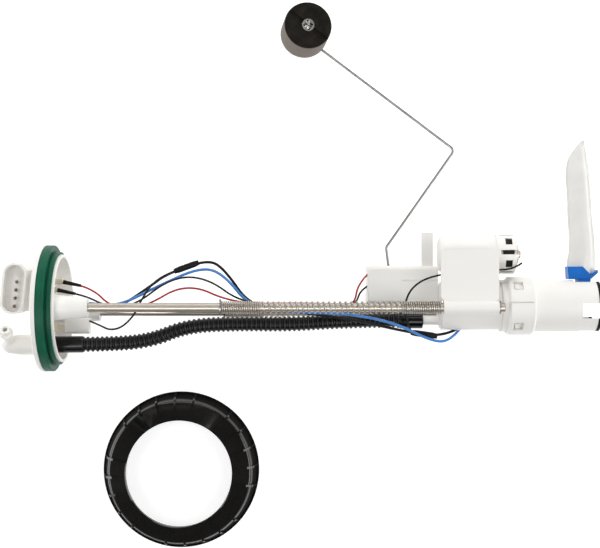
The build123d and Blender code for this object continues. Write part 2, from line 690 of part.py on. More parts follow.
def pump_magnets():
    x0, x1 = MAGNET_X
    ring = tube_x(x0, x1, PUMP_R - CAN_WALL, magnet_bore(), PUMP_Y)
    gap = block(x0 - 1, x1 + 1, PUMP_Y - 4, PUMP_Y + 4, -PUMP_R, PUMP_R)
    return group([ring - gap])


def pump_mid_plate():
    return tube_x(*MID_PLATE_X, PUMP_R - CAN_WALL, BUSH_R, PUMP_Y)


def pump_inlet_cover():
    x0, x1 = INLET_COVER_X
    cover = cyl_x(x0, x1, PUMP_R, PUMP_Y)
    cover += cyl_x(x1 - 1, INLET_END_X, INLET_R, INLET_Y, SOCK_Z)
    cover -= cyl_x(x0 - 1, INLET_END_X + 1, INLET_BORE_R, INLET_Y, SOCK_Z)
    return cover


def rotor_shaft():
    return cyl_x(OUTLET_COVER_X[0] + 4, IMPELLER_X[1], SHAFT_R, PUMP_Y)


def rotor_armature():
    x0, x1 = ARMATURE_X
    r = magnet_bore() - AIR_GAP
    core = tube_x(x0, x1, r, SHAFT_R, PUMP_Y)
    slot = block(x0 - 1, x1 + 1, -0.8, 0.8, r - 4, r + 1)
    for i in range(8):
        core -= about_x(45 * i, slot, PUMP_Y)
    commutator = tube_x(OUTLET_COVER_X[1] - 0.5, x0 + 0.5, r - 4, SHAFT_R, PUMP_Y)
    return core + commutator


def impeller():
    x0, x1 = IMPELLER_X
    disc = tube_x(x0, x1, IMPELLER_R, SHAFT_R, PUMP_Y)
    vane = block(x0 - 1, x1 + 1, -0.6, 0.6, IMPELLER_R - 1.8, IMPELLER_R + 1)
    for i in range(VANES):
        disc -= about_x(360 / VANES * i, vane, PUMP_Y)
    return disc


# Regulator

def regulator_body():
    x0 = CHAMBER_X[1]
    x1 = x0 + REG_FLANGE_T
    x2 = x1 + REG_NECK_L
    wide = CHAMBER_R - 0.6
    return turned_x([(x0 - 20, 0), (x0 - 20, REG_BODY_R), (x0, REG_BODY_R), (x0, wide), (x1, wide),
                     (x1, REG_NECK_R), (x2, REG_NECK_R), (x2, REG_STUD_R), (x2 + 2.6, REG_STUD_R),
                     (x2 + 2.6, 0)], REG_Y, REG_Z)


def regulator_o_rings():
    half = (CHAMBER_BORE_R - REG_BODY_R) / 2
    ring = Torus(REG_BODY_R + half, half - 0.01)
    places = (CHAMBER_X[1] - 5, CHAMBER_X[1] - 14)
    return group([Pos(x, REG_Y, REG_Z) * Rot(0, 90, 0) * ring for x in places])


def regulator_holder():
    x0 = CHAMBER_X[1] + REG_FLANGE_T
    holder = tube_x(x0, CAP_X[1] - 2.2, CHAMBER_R, REG_NECK_R, REG_Y, REG_Z)
    for i in range(CAP_FINGERS):
        barb = block(x0 + 2.6, x0 + 5.0, -2.2, 2.2, CHAMBER_R - 1, CAP_R - 0.5)
        holder += about_x(CAP_FIRST + (i + 0.5) * 360 / CAP_FINGERS, barb, REG_Y, REG_Z)
    return holder


def regulator_cap():
    x0, x1 = CAP_X
    bore, eye = CHAMBER_R + PUSH / 2, REG_NECK_R + 0.4
    cap = turned_x([(x0, bore), (x0, CAP_R), (x1 - 1, CAP_R), (x1, CAP_R - 1), (x1, eye),
                    (x1 - 2.2, eye), (x1 - 2.2, bore)], REG_Y, REG_Z)
    for i in range(CAP_FINGERS):
        angle = CAP_FIRST + i * 360 / CAP_FINGERS
        slot = block(x0 + 3.0, x1 + 1, -CAP_SLOT / 2, CAP_SLOT / 2, CAP_R - 4.6, CAP_R + 1)
        window = block(x0 + 6.9, x0 + 12.3, -3.3, 3.3, CAP_R - 4.6, CAP_R + 1)
        cap -= about_x(angle, slot, REG_Y, REG_Z)
        cap -= about_x(angle + 180 / CAP_FINGERS, window, REG_Y, REG_Z)
    return cap


def ground_ring_terminal():
    x0 = CHAMBER_X[1] + REG_FLANGE_T + REG_NECK_L
    ring = tube_x(x0, x0 + 0.9, REG_STUD_R + 2.2, REG_STUD_R, REG_Y, REG_Z)
    neck = Pos(0, REG_Y, REG_Z) * Rot(-145, 0, 0) * block(x0, x0 + 0.9, -1.6, 1.6, 4.6, 8.0)
    return ring + neck


# Strainer

def strainer_frame():
    x0, x1 = INLET_COVER_X[1] + 1.0, INLET_END_X - 0.7
    top = FRAME_TOP_Y
    ring = tube_x(x0, x1, INLET_R + 2.0, INLET_R, INLET_Y, SOCK_Z)
    neck = block(x0, x1, INLET_Y + 6, top - 8.3, SOCK_Z - 5, SOCK_Z + 5)
    left, right = LEG_END_X - 21.3, LEG_END_X + 2.7
    outline = Polyline((left, top), (left + 12.0, top), (right - 5.0, top - 6.9), (right, top - 2.5),
                       (right, top - 5.1), (right - 5.7, top - 10.1), (left + 0.6, top - 10.1),
                       close=True)
    shoe = extrude(make_face(outline), FRAME_T / 2, both=True)
    shoe = fillet(shoe.edges().group_by(Axis.Z)[-1], 0.6)
    return ring + neck + Pos(0, 0, SOCK_Z) * shoe


def strainer_sock():
    # Bag of woven mesh, drawn as a plain closed pillow that narrows to its sealed tip.
    # Each row is the way out from the frame, the way back from the legs' end, and two half sizes.
    rows = [(0, 9.9, 11.6, 6.0), (12.7, 8.9, 10.5, 6.6), (36.7, 10.3, 9.9, 6.4),
            (64.7, 12.0, 9.5, 5.4), (78.7, 12.7, 9.1, 4.2), (88.7, 12.1, 6.9, 2.8),
            (95.7, 9.9, 3.6, 1.6), (101.2, 7.9, 1.0, 0.8)]
    sections = []
    for out, back, half_w, half_t in rows:
        at = (LEG_END_X - back, FRAME_TOP_Y + out, SOCK_Z)
        plane = Plane(origin=at, x_dir=(1, 0, 0), z_dir=(0, 1, 0))
        sections.append(plane * Ellipse(half_w, half_t))
    return loft(sections)


# Level sender and float

def sender_housing():
    y0, y1 = SENDER_Y
    z0, z1 = SENDER_Z
    x1 = HEAD_X[0]
    box = block(SENDER_X, x1, y0, y1, z0, z1)
    box = fillet(box.edges().filter_by(Axis.X).group_by(Axis.Z)[-1], 4.0)
    box = fillet(box.edges().filter_by(Axis.Y).group_by(Axis.X)[0].group_by(Axis.Z)[-1], 1.5)
    w = SENDER_WALL
    box -= block(SENDER_X + w, x1 - w, y0 + w, y1 - w, z0 - 1, z1 - w)
    box -= block(SENDER_LAND_X, x1 + 1, y0 - 1, 22.5, z1 - SENDER_LAND, z1 + 1)
    box -= block(x1 - KEY_L - 1, x1 + 1, KEY_Y[0] - PUSH, KEY_Y[1] + PUSH, KEY_Z[0] - PUSH, KEY_Z[1] + PUSH)
    tongue = block(*TONGUE_X, y1 - 1, y1 + 27.0, -17.0, -11.0)
    return box + tongue


def sender_back_plate():
    y0, y1 = SENDER_Y
    z1 = SENDER_Z[0]
    z0 = z1 - BACK_T
    x1 = HEAD_X[0]
    w = SENDER_WALL
    plate = block(SENDER_X, x1, y0, y1, z0, z1)
    plate += block(SENDER_X, x1, y0, y0 + w, FLOOR_Z, z0 + 1)
    for x in (SENDER_X, x1 - w):
        plate += block(x, x + w, y0, 11.0, FLOOR_Z, z0 + 1)
    plate += cyl_z(HUB_Z[0] - 0.4, z0 + 1, POST_R, *PIVOT)
    plate += cyl_z(HUB_Z[1] + SEAT, z0 + 1, POST_R + 2, *PIVOT)
    return plate


def sender_card():
    z0 = SENDER_Z[0] - BACK_T
    return block(PIVOT[0] - 16.6, PIVOT[0] + 20.4, PIVOT[1] + 6.5, SENDER_Y[1] - 0.5, z0 - CARD_T, z0)


def post_cap():
    # Push-on washer that keeps the hub on its post.
    z1 = HUB_Z[0] - SEAT
    return cyl_z(z1 - 0.9, z1, 4.0, *PIVOT) - cyl_z(z1 - 0.1, z1 + 1, POST_R, *PIVOT)


def arm_hub():
    hub = cyl_z(*HUB_Z, HUB_R, *PIVOT)
    x, y = PIVOT
    hub += block(x - 6.0, x + 3.5, y + 3, y + 13.0, ARM_Z - 2.6, ARM_Z + 2.6)
    hub -= cyl_z(HUB_Z[0] - 1, HUB_Z[1] + 1, POST_R + RUN, x, y)
    hub -= float_arm()
    return hub


def float_arm():
    back, axis = Vector(*FLOAT_BACK), Vector(*FLOAT_AXIS)
    under = back + axis * ((ARM_Z - back.Z) / axis.Z)
    tip = back + axis * (FLOAT_L + 3.0)
    start = (PIVOT[0] - 0.8, PIVOT[1] + 4.5, ARM_Z)
    path = FilletPolyline(start, (*ARM_CORNER_B, ARM_Z), (*ARM_CORNER_A, ARM_Z), under, tip,
                          radius=[4.0, 4.0, 1.4])
    return sweep(Plane(path @ 0, z_dir=path % 0) * Circle(ARM_R), path=path)


def wiper():
    # Contact spring on the hub that sweeps the resistor card.
    x, y = PIVOT
    top = SENDER_Z[0] - BACK_T - CARD_T - SEAT
    arm = block(x - 2, x + 2, y + 5.5, y + 11.0, top - 0.5, top)
    return arm + block(x - 2, x + 2, y + 5.0, y + 6.5, HUB_Z[1], top)


def float_frame(offset):
    return Plane(Vector(*FLOAT_BACK) + Vector(*FLOAT_AXIS).normalized() * offset,
                 x_dir=(-0.798, 0.602, 0.04), z_dir=FLOAT_AXIS)


def level_float():
    body = Cylinder(FLOAT_R, FLOAT_L)
    body = fillet(body.edges(), 1.2)
    body -= Pos(0, 0, FLOAT_L / 2) * Box(3 * FLOAT_R, 2.9, 2.4)
    body -= Cylinder(ARM_R + RUN, FLOAT_L + 2)
    return float_frame(FLOAT_L / 2 + SEAT) * body


def float_retainer():
    # Push nut on the end of the arm wire: a flat rim, and tongues that rise to grip the wire.
    rise = 1.3
    root = NUT_R - 1.7
    profile = make_face(Polyline(
        (root - 0.2, 0), (NUT_R, 0), (NUT_R, 0.6), (root, 0.6), (ARM_R, rise + 0.4), (ARM_R, rise),
        close=True))
    nut = revolve(Plane.XZ * profile, Axis.Z)
    for i in range(NUT_SLOTS):
        slot = Pos(root / 2, 0, 1) * Box(root, 0.5, 3)
        slot += Pos(root, 0, 1) * Cylinder(0.7, 3)
        nut -= Rot(0, 0, 45 + 360 / NUT_SLOTS * i) * slot
    return float_frame(FLOAT_L + 2 * SEAT) * nut


# Lock ring

def ring_profile():
    # Half section (radius, height): foot, leaning wall, round shoulder, and a lip that rises inwards.
    wall = RING_BASE_R - 1.8
    face = make_face(Polyline(
        (RING_BORE_R, 0), (RING_BASE_R, 0), (RING_BASE_R, RING_BASE_T), (wall, RING_BASE_T + 0.8),
        (RING_SHOULDER_R, RING_SHOULDER_Z), (RING_LIP_R + 0.8, RING_H), (RING_LIP_R, RING_H - 0.8),
        (RING_LIP_R, RING_H - 0.8 - RING_LIP_T), (RING_BORE_R, RING_THREAD_L), close=True))
    shoulder = face.vertices().sort_by_distance((RING_SHOULDER_R, RING_SHOULDER_Z, 0))[0]
    return fillet(shoulder, RING_SHOULDER_ROUND)


def grip_rib():
    # A thin rib that follows the lip, the shoulder and the wall.
    inside, outside = RING_LIP_R + 1.2, RING_SHOULDER_R
    slope = (RING_H - RING_SHOULDER_Z) / (RING_SHOULDER_R - RING_LIP_R - 0.8)
    lip_end = RING_H - slope * (inside - RING_LIP_R - 0.8)
    crest = RING_SHOULDER_Z + slope * 2.0
    side = make_face(Polyline(
        (inside, lip_end - 1.0), (inside, lip_end + RIB_H / 2), (outside - 3.0, crest + RIB_H),
        (outside + RIB_H, RING_SHOULDER_Z - 0.6), (RING_BASE_R - 0.4, RING_BASE_T + 0.2),
        (RING_BORE_R + 1.4, RING_BASE_T + 0.2), (RING_BORE_R + 1.0, RING_SHOULDER_Z - 2.5), close=True))
    bulge = side.vertices().sort_by_distance((outside, crest, 0))[:2]
    side = fillet(bulge, RING_SHOULDER_ROUND / 2)
    return extrude(Plane.XZ * side, RIB_W / 2, both=True)


def lock_ring():
    ring = revolve(Plane.XZ * ring_profile(), Axis.Z)
    rib = grip_rib()
    for i in range(round(360 / RIB_STEP)):
        if i % 6 != 4:
            ring += Rot(0, 0, RIB_FIRST + RIB_STEP * i) * rib
    return Pos(RING_X, RING_Y, FLOOR_Z) * ring


NODES = {
    "flange_cover": flange_cover,
    "flange_seal": flange_seal,
    "connector_pins": connector_pins,
    "wire_terminals": wire_terminals,
    "terminal_sleeves": terminal_sleeves,
    "ground_tab": ground_tab,
    "ground_holder": ground_holder,
    "guide_rod_front": lambda: guide_rod(0),
    "guide_rod_rear": lambda: guide_rod(1),
    "spring_stops": spring_stops,
    "rod_end_clips": rod_end_clips,
    "spring_front": lambda: return_spring(0),
    "spring_rear": lambda: return_spring(1),
    "corrugated_hose": corrugated_hose,
    "sender_wire_red": sender_wire_red,
    "sender_wire_black": sender_wire_black,
    "pump_wire_blue": pump_wire_blue,
    "pump_wire_black": pump_wire_black,
    "ground_wire_upper": ground_wire_upper,
    "ground_wire_lower": ground_wire_lower,
    "splice_sleeve_upper": lambda: splice_sleeve(SPLICE_UPPER),
    "splice_sleeve_lower": lambda: splice_sleeve(SPLICE_LOWER),
    "carrier": carrier,
    "pump_sleeve": pump_sleeve,
    "foot_pads": foot_pads,
    "pump_isolator": pump_isolator,
    "pump_outlet_cover": pump_outlet_cover,
    "pump_outlet_grommet": pump_outlet_grommet,
    "shaft_bushes": shaft_bushes,
    "pump_can": pump_can,
    "pump_magnets": pump_magnets,
    "pump_mid_plate": pump_mid_plate,
    "pump_inlet_cover": pump_inlet_cover,
    "rotor_shaft": rotor_shaft,
    "rotor_armature": rotor_armature,
    "impeller": impeller,
    "regulator_body": regulator_body,
    "regulator_o_rings": regulator_o_rings,
    "regulator_holder": regulator_holder,
    "regulator_cap": regulator_cap,
    "ground_ring_terminal": ground_ring_terminal,
    "strainer_frame": strainer_frame,
    "strainer_sock": strainer_sock,
    "sender_housing": sender_housing,
    "sender_back_plate": sender_back_plate,
    "sender_card": sender_card,
    "post_cap": post_cap,
    "arm_hub": arm_hub,
    "float_arm": float_arm,
    "wiper": wiper,
    "level_float": level_float,
    "float_retainer": float_retainer,
    "lock_ring": lock_ring,
}


os.makedirs("parts", exist_ok=True)
for name, make in NODES.items():
    shape = make()
    solids = shape.solids()
    print(name, len(solids), round(shape.volume, 1), shape.is_valid)
    export_step(shape, f"parts/{name}.step")
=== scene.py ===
"""Looks of a fuel pump module that lies on its side on a pale table, with its lock ring beside it."""
import logging
import math
from dataclasses import dataclass, field
from enum import Enum
from typing import Mapping, Optional, Sequence, Tuple, Union

import bpy
import numpy as np
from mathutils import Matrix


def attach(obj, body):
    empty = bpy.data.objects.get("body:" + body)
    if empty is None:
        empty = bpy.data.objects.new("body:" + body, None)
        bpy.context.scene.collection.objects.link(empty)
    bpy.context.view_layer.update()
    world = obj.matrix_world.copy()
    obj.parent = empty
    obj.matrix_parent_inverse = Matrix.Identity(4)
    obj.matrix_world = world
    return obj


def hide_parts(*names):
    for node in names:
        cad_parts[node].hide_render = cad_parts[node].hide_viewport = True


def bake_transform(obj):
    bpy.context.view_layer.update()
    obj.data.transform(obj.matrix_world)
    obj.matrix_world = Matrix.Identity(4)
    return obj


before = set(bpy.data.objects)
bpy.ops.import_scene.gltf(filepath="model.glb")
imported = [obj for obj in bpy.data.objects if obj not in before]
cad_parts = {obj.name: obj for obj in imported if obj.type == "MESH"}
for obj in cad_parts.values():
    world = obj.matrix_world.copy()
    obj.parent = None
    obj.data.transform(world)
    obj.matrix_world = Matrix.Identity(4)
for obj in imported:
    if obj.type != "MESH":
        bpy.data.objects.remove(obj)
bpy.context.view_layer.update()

logging.basicConfig(level=logging.INFO, format="%(message)s")
log = logging.getLogger("pump_module")

MM = 0.001
Point = Tuple[float, float, float]
Colour = Tuple[float, float, float]

MAP = "UVMap"
CREST = "crest"
# A Mix node's two colours and its colour result, by number, because its other types share their names.
MIX_FIRST, MIX_SECOND, MIX_RESULT = 6, 7, 2
EDGE_SAMPLES = 4
ROUTE_STEPS = 32
ROUTE_ORDER = 3


class Body(str, Enum):
    """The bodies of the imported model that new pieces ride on."""

    FLANGE = "flange"
    MODULE = "pump_module"


class Stiffness(str, Enum):
    """How a cord hangs."""

    MEDIUM = "medium"
    STIFF = "stiff"


# Where, along X in millimetres, a piece changes from the flange to the module, or its one body.
Ramp = Union[Tuple[float, float], Body]


# Shader maths


class Value:
    """A socket that carries one number. Python's operators on it add Math nodes."""

    def __init__(self, tree: bpy.types.NodeTree, socket: bpy.types.NodeSocket) -> None:
        """Keeps the tree and the socket."""
        self.tree = tree
        self.socket = socket

    def _math(self, operation: str, *terms: Union["Value", float]) -> "Value":
        """Adds one Math node.

        Args:
            operation: the Math node's operation.
            terms: its inputs, in order.

        Returns:
            The node's result.
        """
        node = self.tree.nodes.new("ShaderNodeMath")
        node.operation = operation
        for slot, term in zip(node.inputs, terms):
            if isinstance(term, Value):
                self.tree.links.new(term.socket, slot)
            else:
                slot.default_value = term
        return Value(self.tree, node.outputs[0])

    def __add__(self, other: Union["Value", float]) -> "Value":
        """self + other."""
        return self._math("ADD", self, other)

    __radd__ = __add__

    def __sub__(self, other: Union["Value", float]) -> "Value":
        """self - other."""
        return self._math("SUBTRACT", self, other)

    def __rsub__(self, other: float) -> "Value":
        """other - self."""
        return self._math("SUBTRACT", other, self)

    def __mul__(self, other: Union["Value", float]) -> "Value":
        """self * other."""
        return self._math("MULTIPLY", self, other)

    __rmul__ = __mul__

    def __truediv__(self, other: Union["Value", float]) -> "Value":
        """self / other."""
        return self._math("DIVIDE", self, other)

    def __rtruediv__(self, other: float) -> "Value":
        """other / self."""
        return self._math("DIVIDE", other, self)

    def sine(self) -> "Value":
        """Sine of self, in radians."""
        return self._math("SINE", self)

    def magnitude(self) -> "Value":
        """self without its sign."""
        return self._math("ABSOLUTE", self)

    def root(self) -> "Value":
        """Square root of self."""
        return self._math("SQRT", self)

    def held(self, low: float, high: float) -> "Value":
        """self kept between low and high."""
        return self._math("MINIMUM", self._math("MAXIMUM", self, low), high)

    def step(self, low: float, high: float) -> "Value":
        """0 below low, 1 above high, and a straight ramp between."""
        return ((self - low) / (high - low)).held(0.0, 1.0)


class Nodes:
    """A node tree, with one method that adds any node but a Math node."""

    def __init__(self, tree: bpy.types.NodeTree) -> None:
        """Keeps the tree."""
        self.tree = tree

    def node(self, kind: str, settings: Optional[Mapping[str, object]] = None,
             sockets: Optional[Mapping[str, object]] = None) -> bpy.types.Node:
        """Adds any node.

        Args:
            kind: the node's type name.
            settings: the node's own properties, which are set first.
            sockets: input names with a number, a tuple, a Value or an output socket.

        Returns:
            The new node.
        """
        node = self.tree.nodes.new(kind)
        for key, value in (settings or {}).items():
            setattr(node, key, value)
        for key, value in (sockets or {}).items():
            self.feed(node.inputs[key], value)
        return node

    def feed(self, slot: bpy.types.NodeSocket, value: object) -> None:
        """Links or sets one input socket.

        Args:
            slot: the input.
            value: a Value or an output socket to link, or what to set.
        """
        if isinstance(value, Value):
            self.tree.links.new(value.socket, slot)
        elif isinstance(value, bpy.types.NodeSocket):
            self.tree.links.new(value, slot)
        else:
            slot.default_value = value

    def axes(self, vector: bpy.types.NodeSocket) -> Tuple[Value, Value, Value]:
        """Splits a vector.

        Args:
            vector: its socket.

        Returns:
            Its three numbers.
        """
        split = self.node("ShaderNodeSeparateXYZ", None, {"Vector": vector})
        x, y, z = (Value(self.tree, out) for out in split.outputs)
        return x, y, z


class Shade(Nodes):
    """A new material around one Principled shader."""

    def __init__(self, name: str) -> None:
        """Makes the material and finds its shader.

        Args:
            name: the material's name.
        """
        self.material = bpy.data.materials.new(name)
        self.material.use_nodes = True
        super().__init__(self.material.node_tree)
        self.shader = self.tree.nodes["Principled BSDF"]

    def set(self, **constants: object) -> None:
        """Sets or links the shader's sockets, named with _ for a space."""
        for key, value in constants.items():
            self.feed(self.shader.inputs[key.replace("_", " ")], value)

    def place(self, stretch: Point = (1.0, 1.0, 1.0),
              centre: Point = (0.0, 0.0, 0.0)) -> bpy.types.NodeSocket:
        """Object coordinates, in metres.

        Args:
            stretch: factors on each axis.
            centre: the point that becomes the origin.

        Returns:
            The vector socket.
        """
        where = self.node("ShaderNodeTexCoord").outputs["Object"]
        back = tuple(-c * s for c, s in zip(centre, stretch))
        moved = {"Vector": where, "Scale": stretch, "Location": back}
        return self.node("ShaderNodeMapping", None, moved).outputs[0]

    def own_map(self) -> bpy.types.NodeSocket:
        """The piece's own map, in metres along and round it."""
        return self.node("ShaderNodeUVMap", {"uv_map": MAP}).outputs[0]

    def noise(self, vector: bpy.types.NodeSocket, scale: float, detail: float = 2.0,
              rough: float = 0.6) -> Value:
        """Smooth noise with features about 1 / scale across.

        Args:
            vector: where it is read.
            scale: features per metre.
            detail: layers of finer noise on top.
            rough: how strong each finer layer is.

        Returns:
            The noise, from 0 to 1.
        """
        made = self.node("ShaderNodeTexNoise", None,
                         {"Vector": vector, "Scale": scale, "Detail": detail, "Roughness": rough})
        return Value(self.tree, made.outputs["Fac"])

    def cells(self, vector: bpy.types.NodeSocket, scale: float) -> Value:
        """Distance to the nearest cell centre, with cells about 1 / scale across."""
        made = self.node("ShaderNodeTexVoronoi", None, {"Vector": vector, "Scale": scale})
        return Value(self.tree, made.outputs["Distance"])

    def mix(self, share: Value, first: Colour, second: Colour) -> bpy.types.NodeSocket:
        """Mixes two colours.

        Args:
            share: how much of the second, from 0 to 1.
            first: the first colour.
            second: the second colour.

        Returns:
            The mixed colour's socket.
        """
        made = self.node("ShaderNodeMix", {"data_type": "RGBA"}, {"Factor": share})
        self.feed(made.inputs[MIX_FIRST], (*first, 1.0))
        self.feed(made.inputs[MIX_SECOND], (*second, 1.0))
        return made.outputs[MIX_RESULT]

    def bump(self, height: Value, depth: float, edge: float = 0.0) -> None:
        """Feeds a bump, and a softened edge, to the shader's normal.

        Args:
            height: from 0 to 1.
            depth: metres between height 0 and 1.
            edge: radius in metres that sharp edges look rounded to.
        """
        sockets = {"Height": height, "Distance": depth, "Strength": 1.0}
        if edge:
            soft = self.node("ShaderNodeBevel", {"samples": EDGE_SAMPLES}, {"Radius": edge})
            sockets["Normal"] = soft.outputs[0]
        made = self.node("ShaderNodeBump", None, sockets)
        self.feed(self.shader.inputs["Normal"], made.outputs["Normal"])


# Finishes. A scale is in features per metre, and depths and edges are in metres.


@dataclass(frozen=True)
class Finish:
    """What every finish has.

    name is the material's, slot is not used, colour the main colour, tint the second one that
    clouds it, and rough the mean roughness.
    """

    name: str
    slot: str
    colour: Colour
    tint: Colour
    rough: float

    def paint(self, shade: Shade) -> None:
        """Builds the nodes of this finish in a new material."""
        raise NotImplementedError

    def material(self) -> bpy.types.Material:
        """Makes the material at its first use.

        Returns:
            The material.
        """
        found = bpy.data.materials.get(self.name)
        if found is None:
            shade = Shade(self.name)
            self.paint(shade)
            found = shade.material
        return found


@dataclass(frozen=True)
class MouldedPlastic(Finish):
    """Injection moulded plastic: cloudy colour, flow lines, a fine spark texture and softened edges."""

    cloud: float = 60.0
    specks_per_cloud: float = 14.0
    flow_stretch: Point = (1.0, 5.0, 5.0)
    grain: float = 2600.0
    depth: float = 0.00003
    edge: float = 0.0004
    shine: float = 0.45

    def paint(self, shade: Shade) -> None:
        """Two clouds of tint, stretched flow marks in the gloss, and grain in the bump.

        Args:
            shade: the new material.
        """
        where = shade.place()
        cloud = shade.noise(where, self.cloud, 3.0, 0.55)
        speck = shade.noise(where, self.cloud * self.specks_per_cloud)
        flow = shade.noise(shade.place(self.flow_stretch), self.cloud * 0.7, 4.0)
        share = (cloud * 0.75 + speck * 0.25).step(0.35, 0.7)
        shade.set(Base_Color=shade.mix(share, self.colour, self.tint))
        shade.set(Roughness=(self.rough - 0.08) + flow * 0.12 + speck * 0.06)
        shade.set(Specular_IOR_Level=self.shine)
        grain = shade.noise(where, self.grain, 1.0, 0.5)
        shade.bump(grain * 0.5 + flow * 0.5, self.depth, self.edge)


@dataclass(frozen=True)
class SealRubber(Finish):
    """Soft moulded rubber with a pale bloom and a fine matt skin."""

    bloom: float = 45.0
    skin: float = 1900.0
    depth: float = 0.00004
    edge: float = 0.0005
    shine: float = 0.4

    def paint(self, shade: Shade) -> None:
        """Bloom in patches over the colour, with skin grain in the bump.

        Args:
            shade: the new material.
        """
        where = shade.place()
        bloom = shade.noise(where, self.bloom, 4.0).step(0.4, 0.75)
        skin = shade.noise(where, self.skin)
        shade.set(Base_Color=shade.mix(bloom, self.colour, self.tint))
        shade.set(Roughness=(self.rough - 0.06) + skin * 0.12, Specular_IOR_Level=self.shine)
        shade.bump(skin, self.depth, self.edge)


@dataclass(frozen=True)
class Metal(Finish):
    """Bare or plated metal with fine lines in it, which run along the axis where lines is small.

    With a depth of 0 the lines show in the gloss alone.
    """

    lines: Point = (900.0, 900.0, 900.0)
    cloud: float = 90.0
    depth: float = 0.000002
    edge: float = 0.0002

    def paint(self, shade: Shade) -> None:
        """Lines in the gloss and the bump, and slow clouds of tint.

        Args:
            shade: the new material.
        """
        cloud = shade.noise(shade.place(), self.cloud, 3.0).step(0.35, 0.75)
        lines = shade.noise(shade.place(self.lines), 1.0, 3.0)
        shade.set(Base_Color=shade.mix(cloud, self.colour, self.tint), Metallic=1.0)
        shade.set(Roughness=(self.rough - 0.03) + lines * 0.06)
        if self.depth:
            shade.bump(lines, self.depth, self.edge)


@dataclass(frozen=True)
class Insulation(Finish):
    """Extruded wire cover: soft gloss with faint lengthwise drag lines, read from the tube's own map."""

    drag: Point = (40.0, 26.0, 1.0)
    handling: float = 70.0
    depth: float = 0.00002
    shine: float = 0.4

    def paint(self, shade: Shade) -> None:
        """Drag marks are noise over the tube's own map, and handling clouds the colour.

        Args:
            shade: the new material.
        """
        run = {"Vector": shade.own_map(), "Scale": self.drag}
        drag = shade.noise(shade.node("ShaderNodeMapping", None, run).outputs[0], 1.0, 3.0)
        handled = shade.noise(shade.place(), self.handling, 3.0).step(0.35, 0.7)
        shade.set(Base_Color=shade.mix(handled, self.colour, self.tint))
        shade.set(Roughness=(self.rough - 0.06) + drag * 0.12, Specular_IOR_Level=self.shine)
        shade.bump(drag, self.depth)


@dataclass(frozen=True)
class HoseNylon(Finish):
    """Glossy convoluted nylon: valleys kept black as painted shade, and crests made paler by a painted
    highlight and some scuffs.
    """

    scuff: float = 260.0
    grain: float = 1500.0
    depth: float = 0.000015
    shine: float = 0.26

    def paint(self, shade: Shade) -> None:
        """The piece's own height attribute, 0 in a valley and 1 on a crest, sets painted light and shade,
        and the gloss.

        Args:
            shade: the new material.
        """
        told = shade.node("ShaderNodeAttribute", {"attribute_name": CREST})
        height = Value(shade.tree, told.outputs["Fac"])
        where = shade.place()
        scuff = shade.noise(where, self.scuff, 4.0, 0.65)
        # Painted light: crests get a painted highlight, with some real scuffs mixed in, and valleys
        # painted shade.
        crest_highlight_and_scuff = (height * 0.8 + scuff * 0.3).step(0.45, 1.0)
        shade.set(Base_Color=shade.mix(crest_highlight_and_scuff, self.colour, self.tint))
        shade.set(Roughness=self.rough + crest_highlight_and_scuff * 0.08 + scuff * 0.06, Specular_IOR_Level=self.shine)
        shade.bump(shade.noise(where, self.grain), self.depth)


@dataclass(frozen=True)
class FloatRubber(Finish):
    """Closed cell rubber: pores in the cut faces, and a smoother moulded skin round the rim that is
    painted paler as floor light on the side.

    centre and axis give the float's own line, and radius its size, all in metres. The skin sets in
    between the shares skin_and_lit_side_from and skin_and_lit_side_to of the radius.
    """

    centre: Point = (0.0, 0.0, 0.0)
    axis: Point = (0.0, 0.0, 1.0)
    radius: float = 0.0195
    skin_and_lit_side_from: float = 0.97
    skin_and_lit_side_to: float = 0.992
    pore: float = 1500.0
    cloud: float = 110.0
    depth: float = 0.00012
    edge: float = 0.0005
    shine: float = 0.08

    def paint(self, shade: Shade) -> None:
        """Cells from the distance to random centres; the skin, with its painted paler colour, from the
        distance to the axis.

        Args:
            shade: the new material.
        """
        where = shade.place(centre=self.centre)
        pores = 1.0 - shade.cells(where, self.pore).step(0.1, 0.55)
        cloud = shade.noise(where, self.cloud, 3.0)
        x, y, z = shade.axes(where)
        ax, ay, az = self.axis
        along = x * ax + y * ay + z * az
        far = (x * x + y * y + z * z - along * along).root()
        skin = far.step(self.radius * self.skin_and_lit_side_from, self.radius * self.skin_and_lit_side_to)
        # Painted light: the paler colour round the rim stands in for floor light on the side; the
        # smoother, less porous skin is real.
        share = (skin * 0.9 + cloud.step(0.4, 0.7) * 0.05).held(0.0, 1.0)
        shade.set(Base_Color=shade.mix(share, self.colour, self.tint))
        shade.set(Roughness=self.rough + pores * 0.12 - skin * 0.1, Specular_IOR_Level=self.shine)
        shade.bump((1.0 - pores) * (1.0 - 0.7 * skin) + cloud * 0.2, self.depth, self.edge)


@dataclass(frozen=True)
class RingNylon(Finish):
    """Black moulded nylon: polished over the shoulder, lip and ribs, and dull on the standing wall.

    low and high are the heights, in metres, between which the polish sets in.
    """

    low: float = -0.038
    high: float = -0.033
    polish: float = 0.9
    polish_rough: float = 0.1
    dull: float = 0.25
    flow: float = 60.0
    speck: float = 900.0
    depth: float = 0.000012
    edge: float = 0.0006
    shine: float = 0.02

    def paint(self, shade: Shade) -> None:
        """Height sets the coat and the gloss; slow flow marks wander through both.

        Args:
            shade: the new material.
        """
        where = shade.place()
        _, _, z = shade.axes(where)
        flow = shade.noise(where, self.flow, 3.0, 0.55)
        speck = shade.noise(where, self.speck)
        marks = flow * 0.7 + speck * 0.3
        polished = z.step(self.low, self.high)
        shade.set(Base_Color=shade.mix(marks.step(0.35, 0.7), self.colour, self.tint))
        shade.set(Roughness=self.rough + (1.0 - polished) * self.dull + flow * 0.08)
        shade.set(Specular_IOR_Level=self.shine, Coat_Roughness=self.polish_rough)
        shade.set(Coat_Weight=polished * (self.polish - 0.2 * flow))
        shade.bump(marks, self.depth, self.edge)


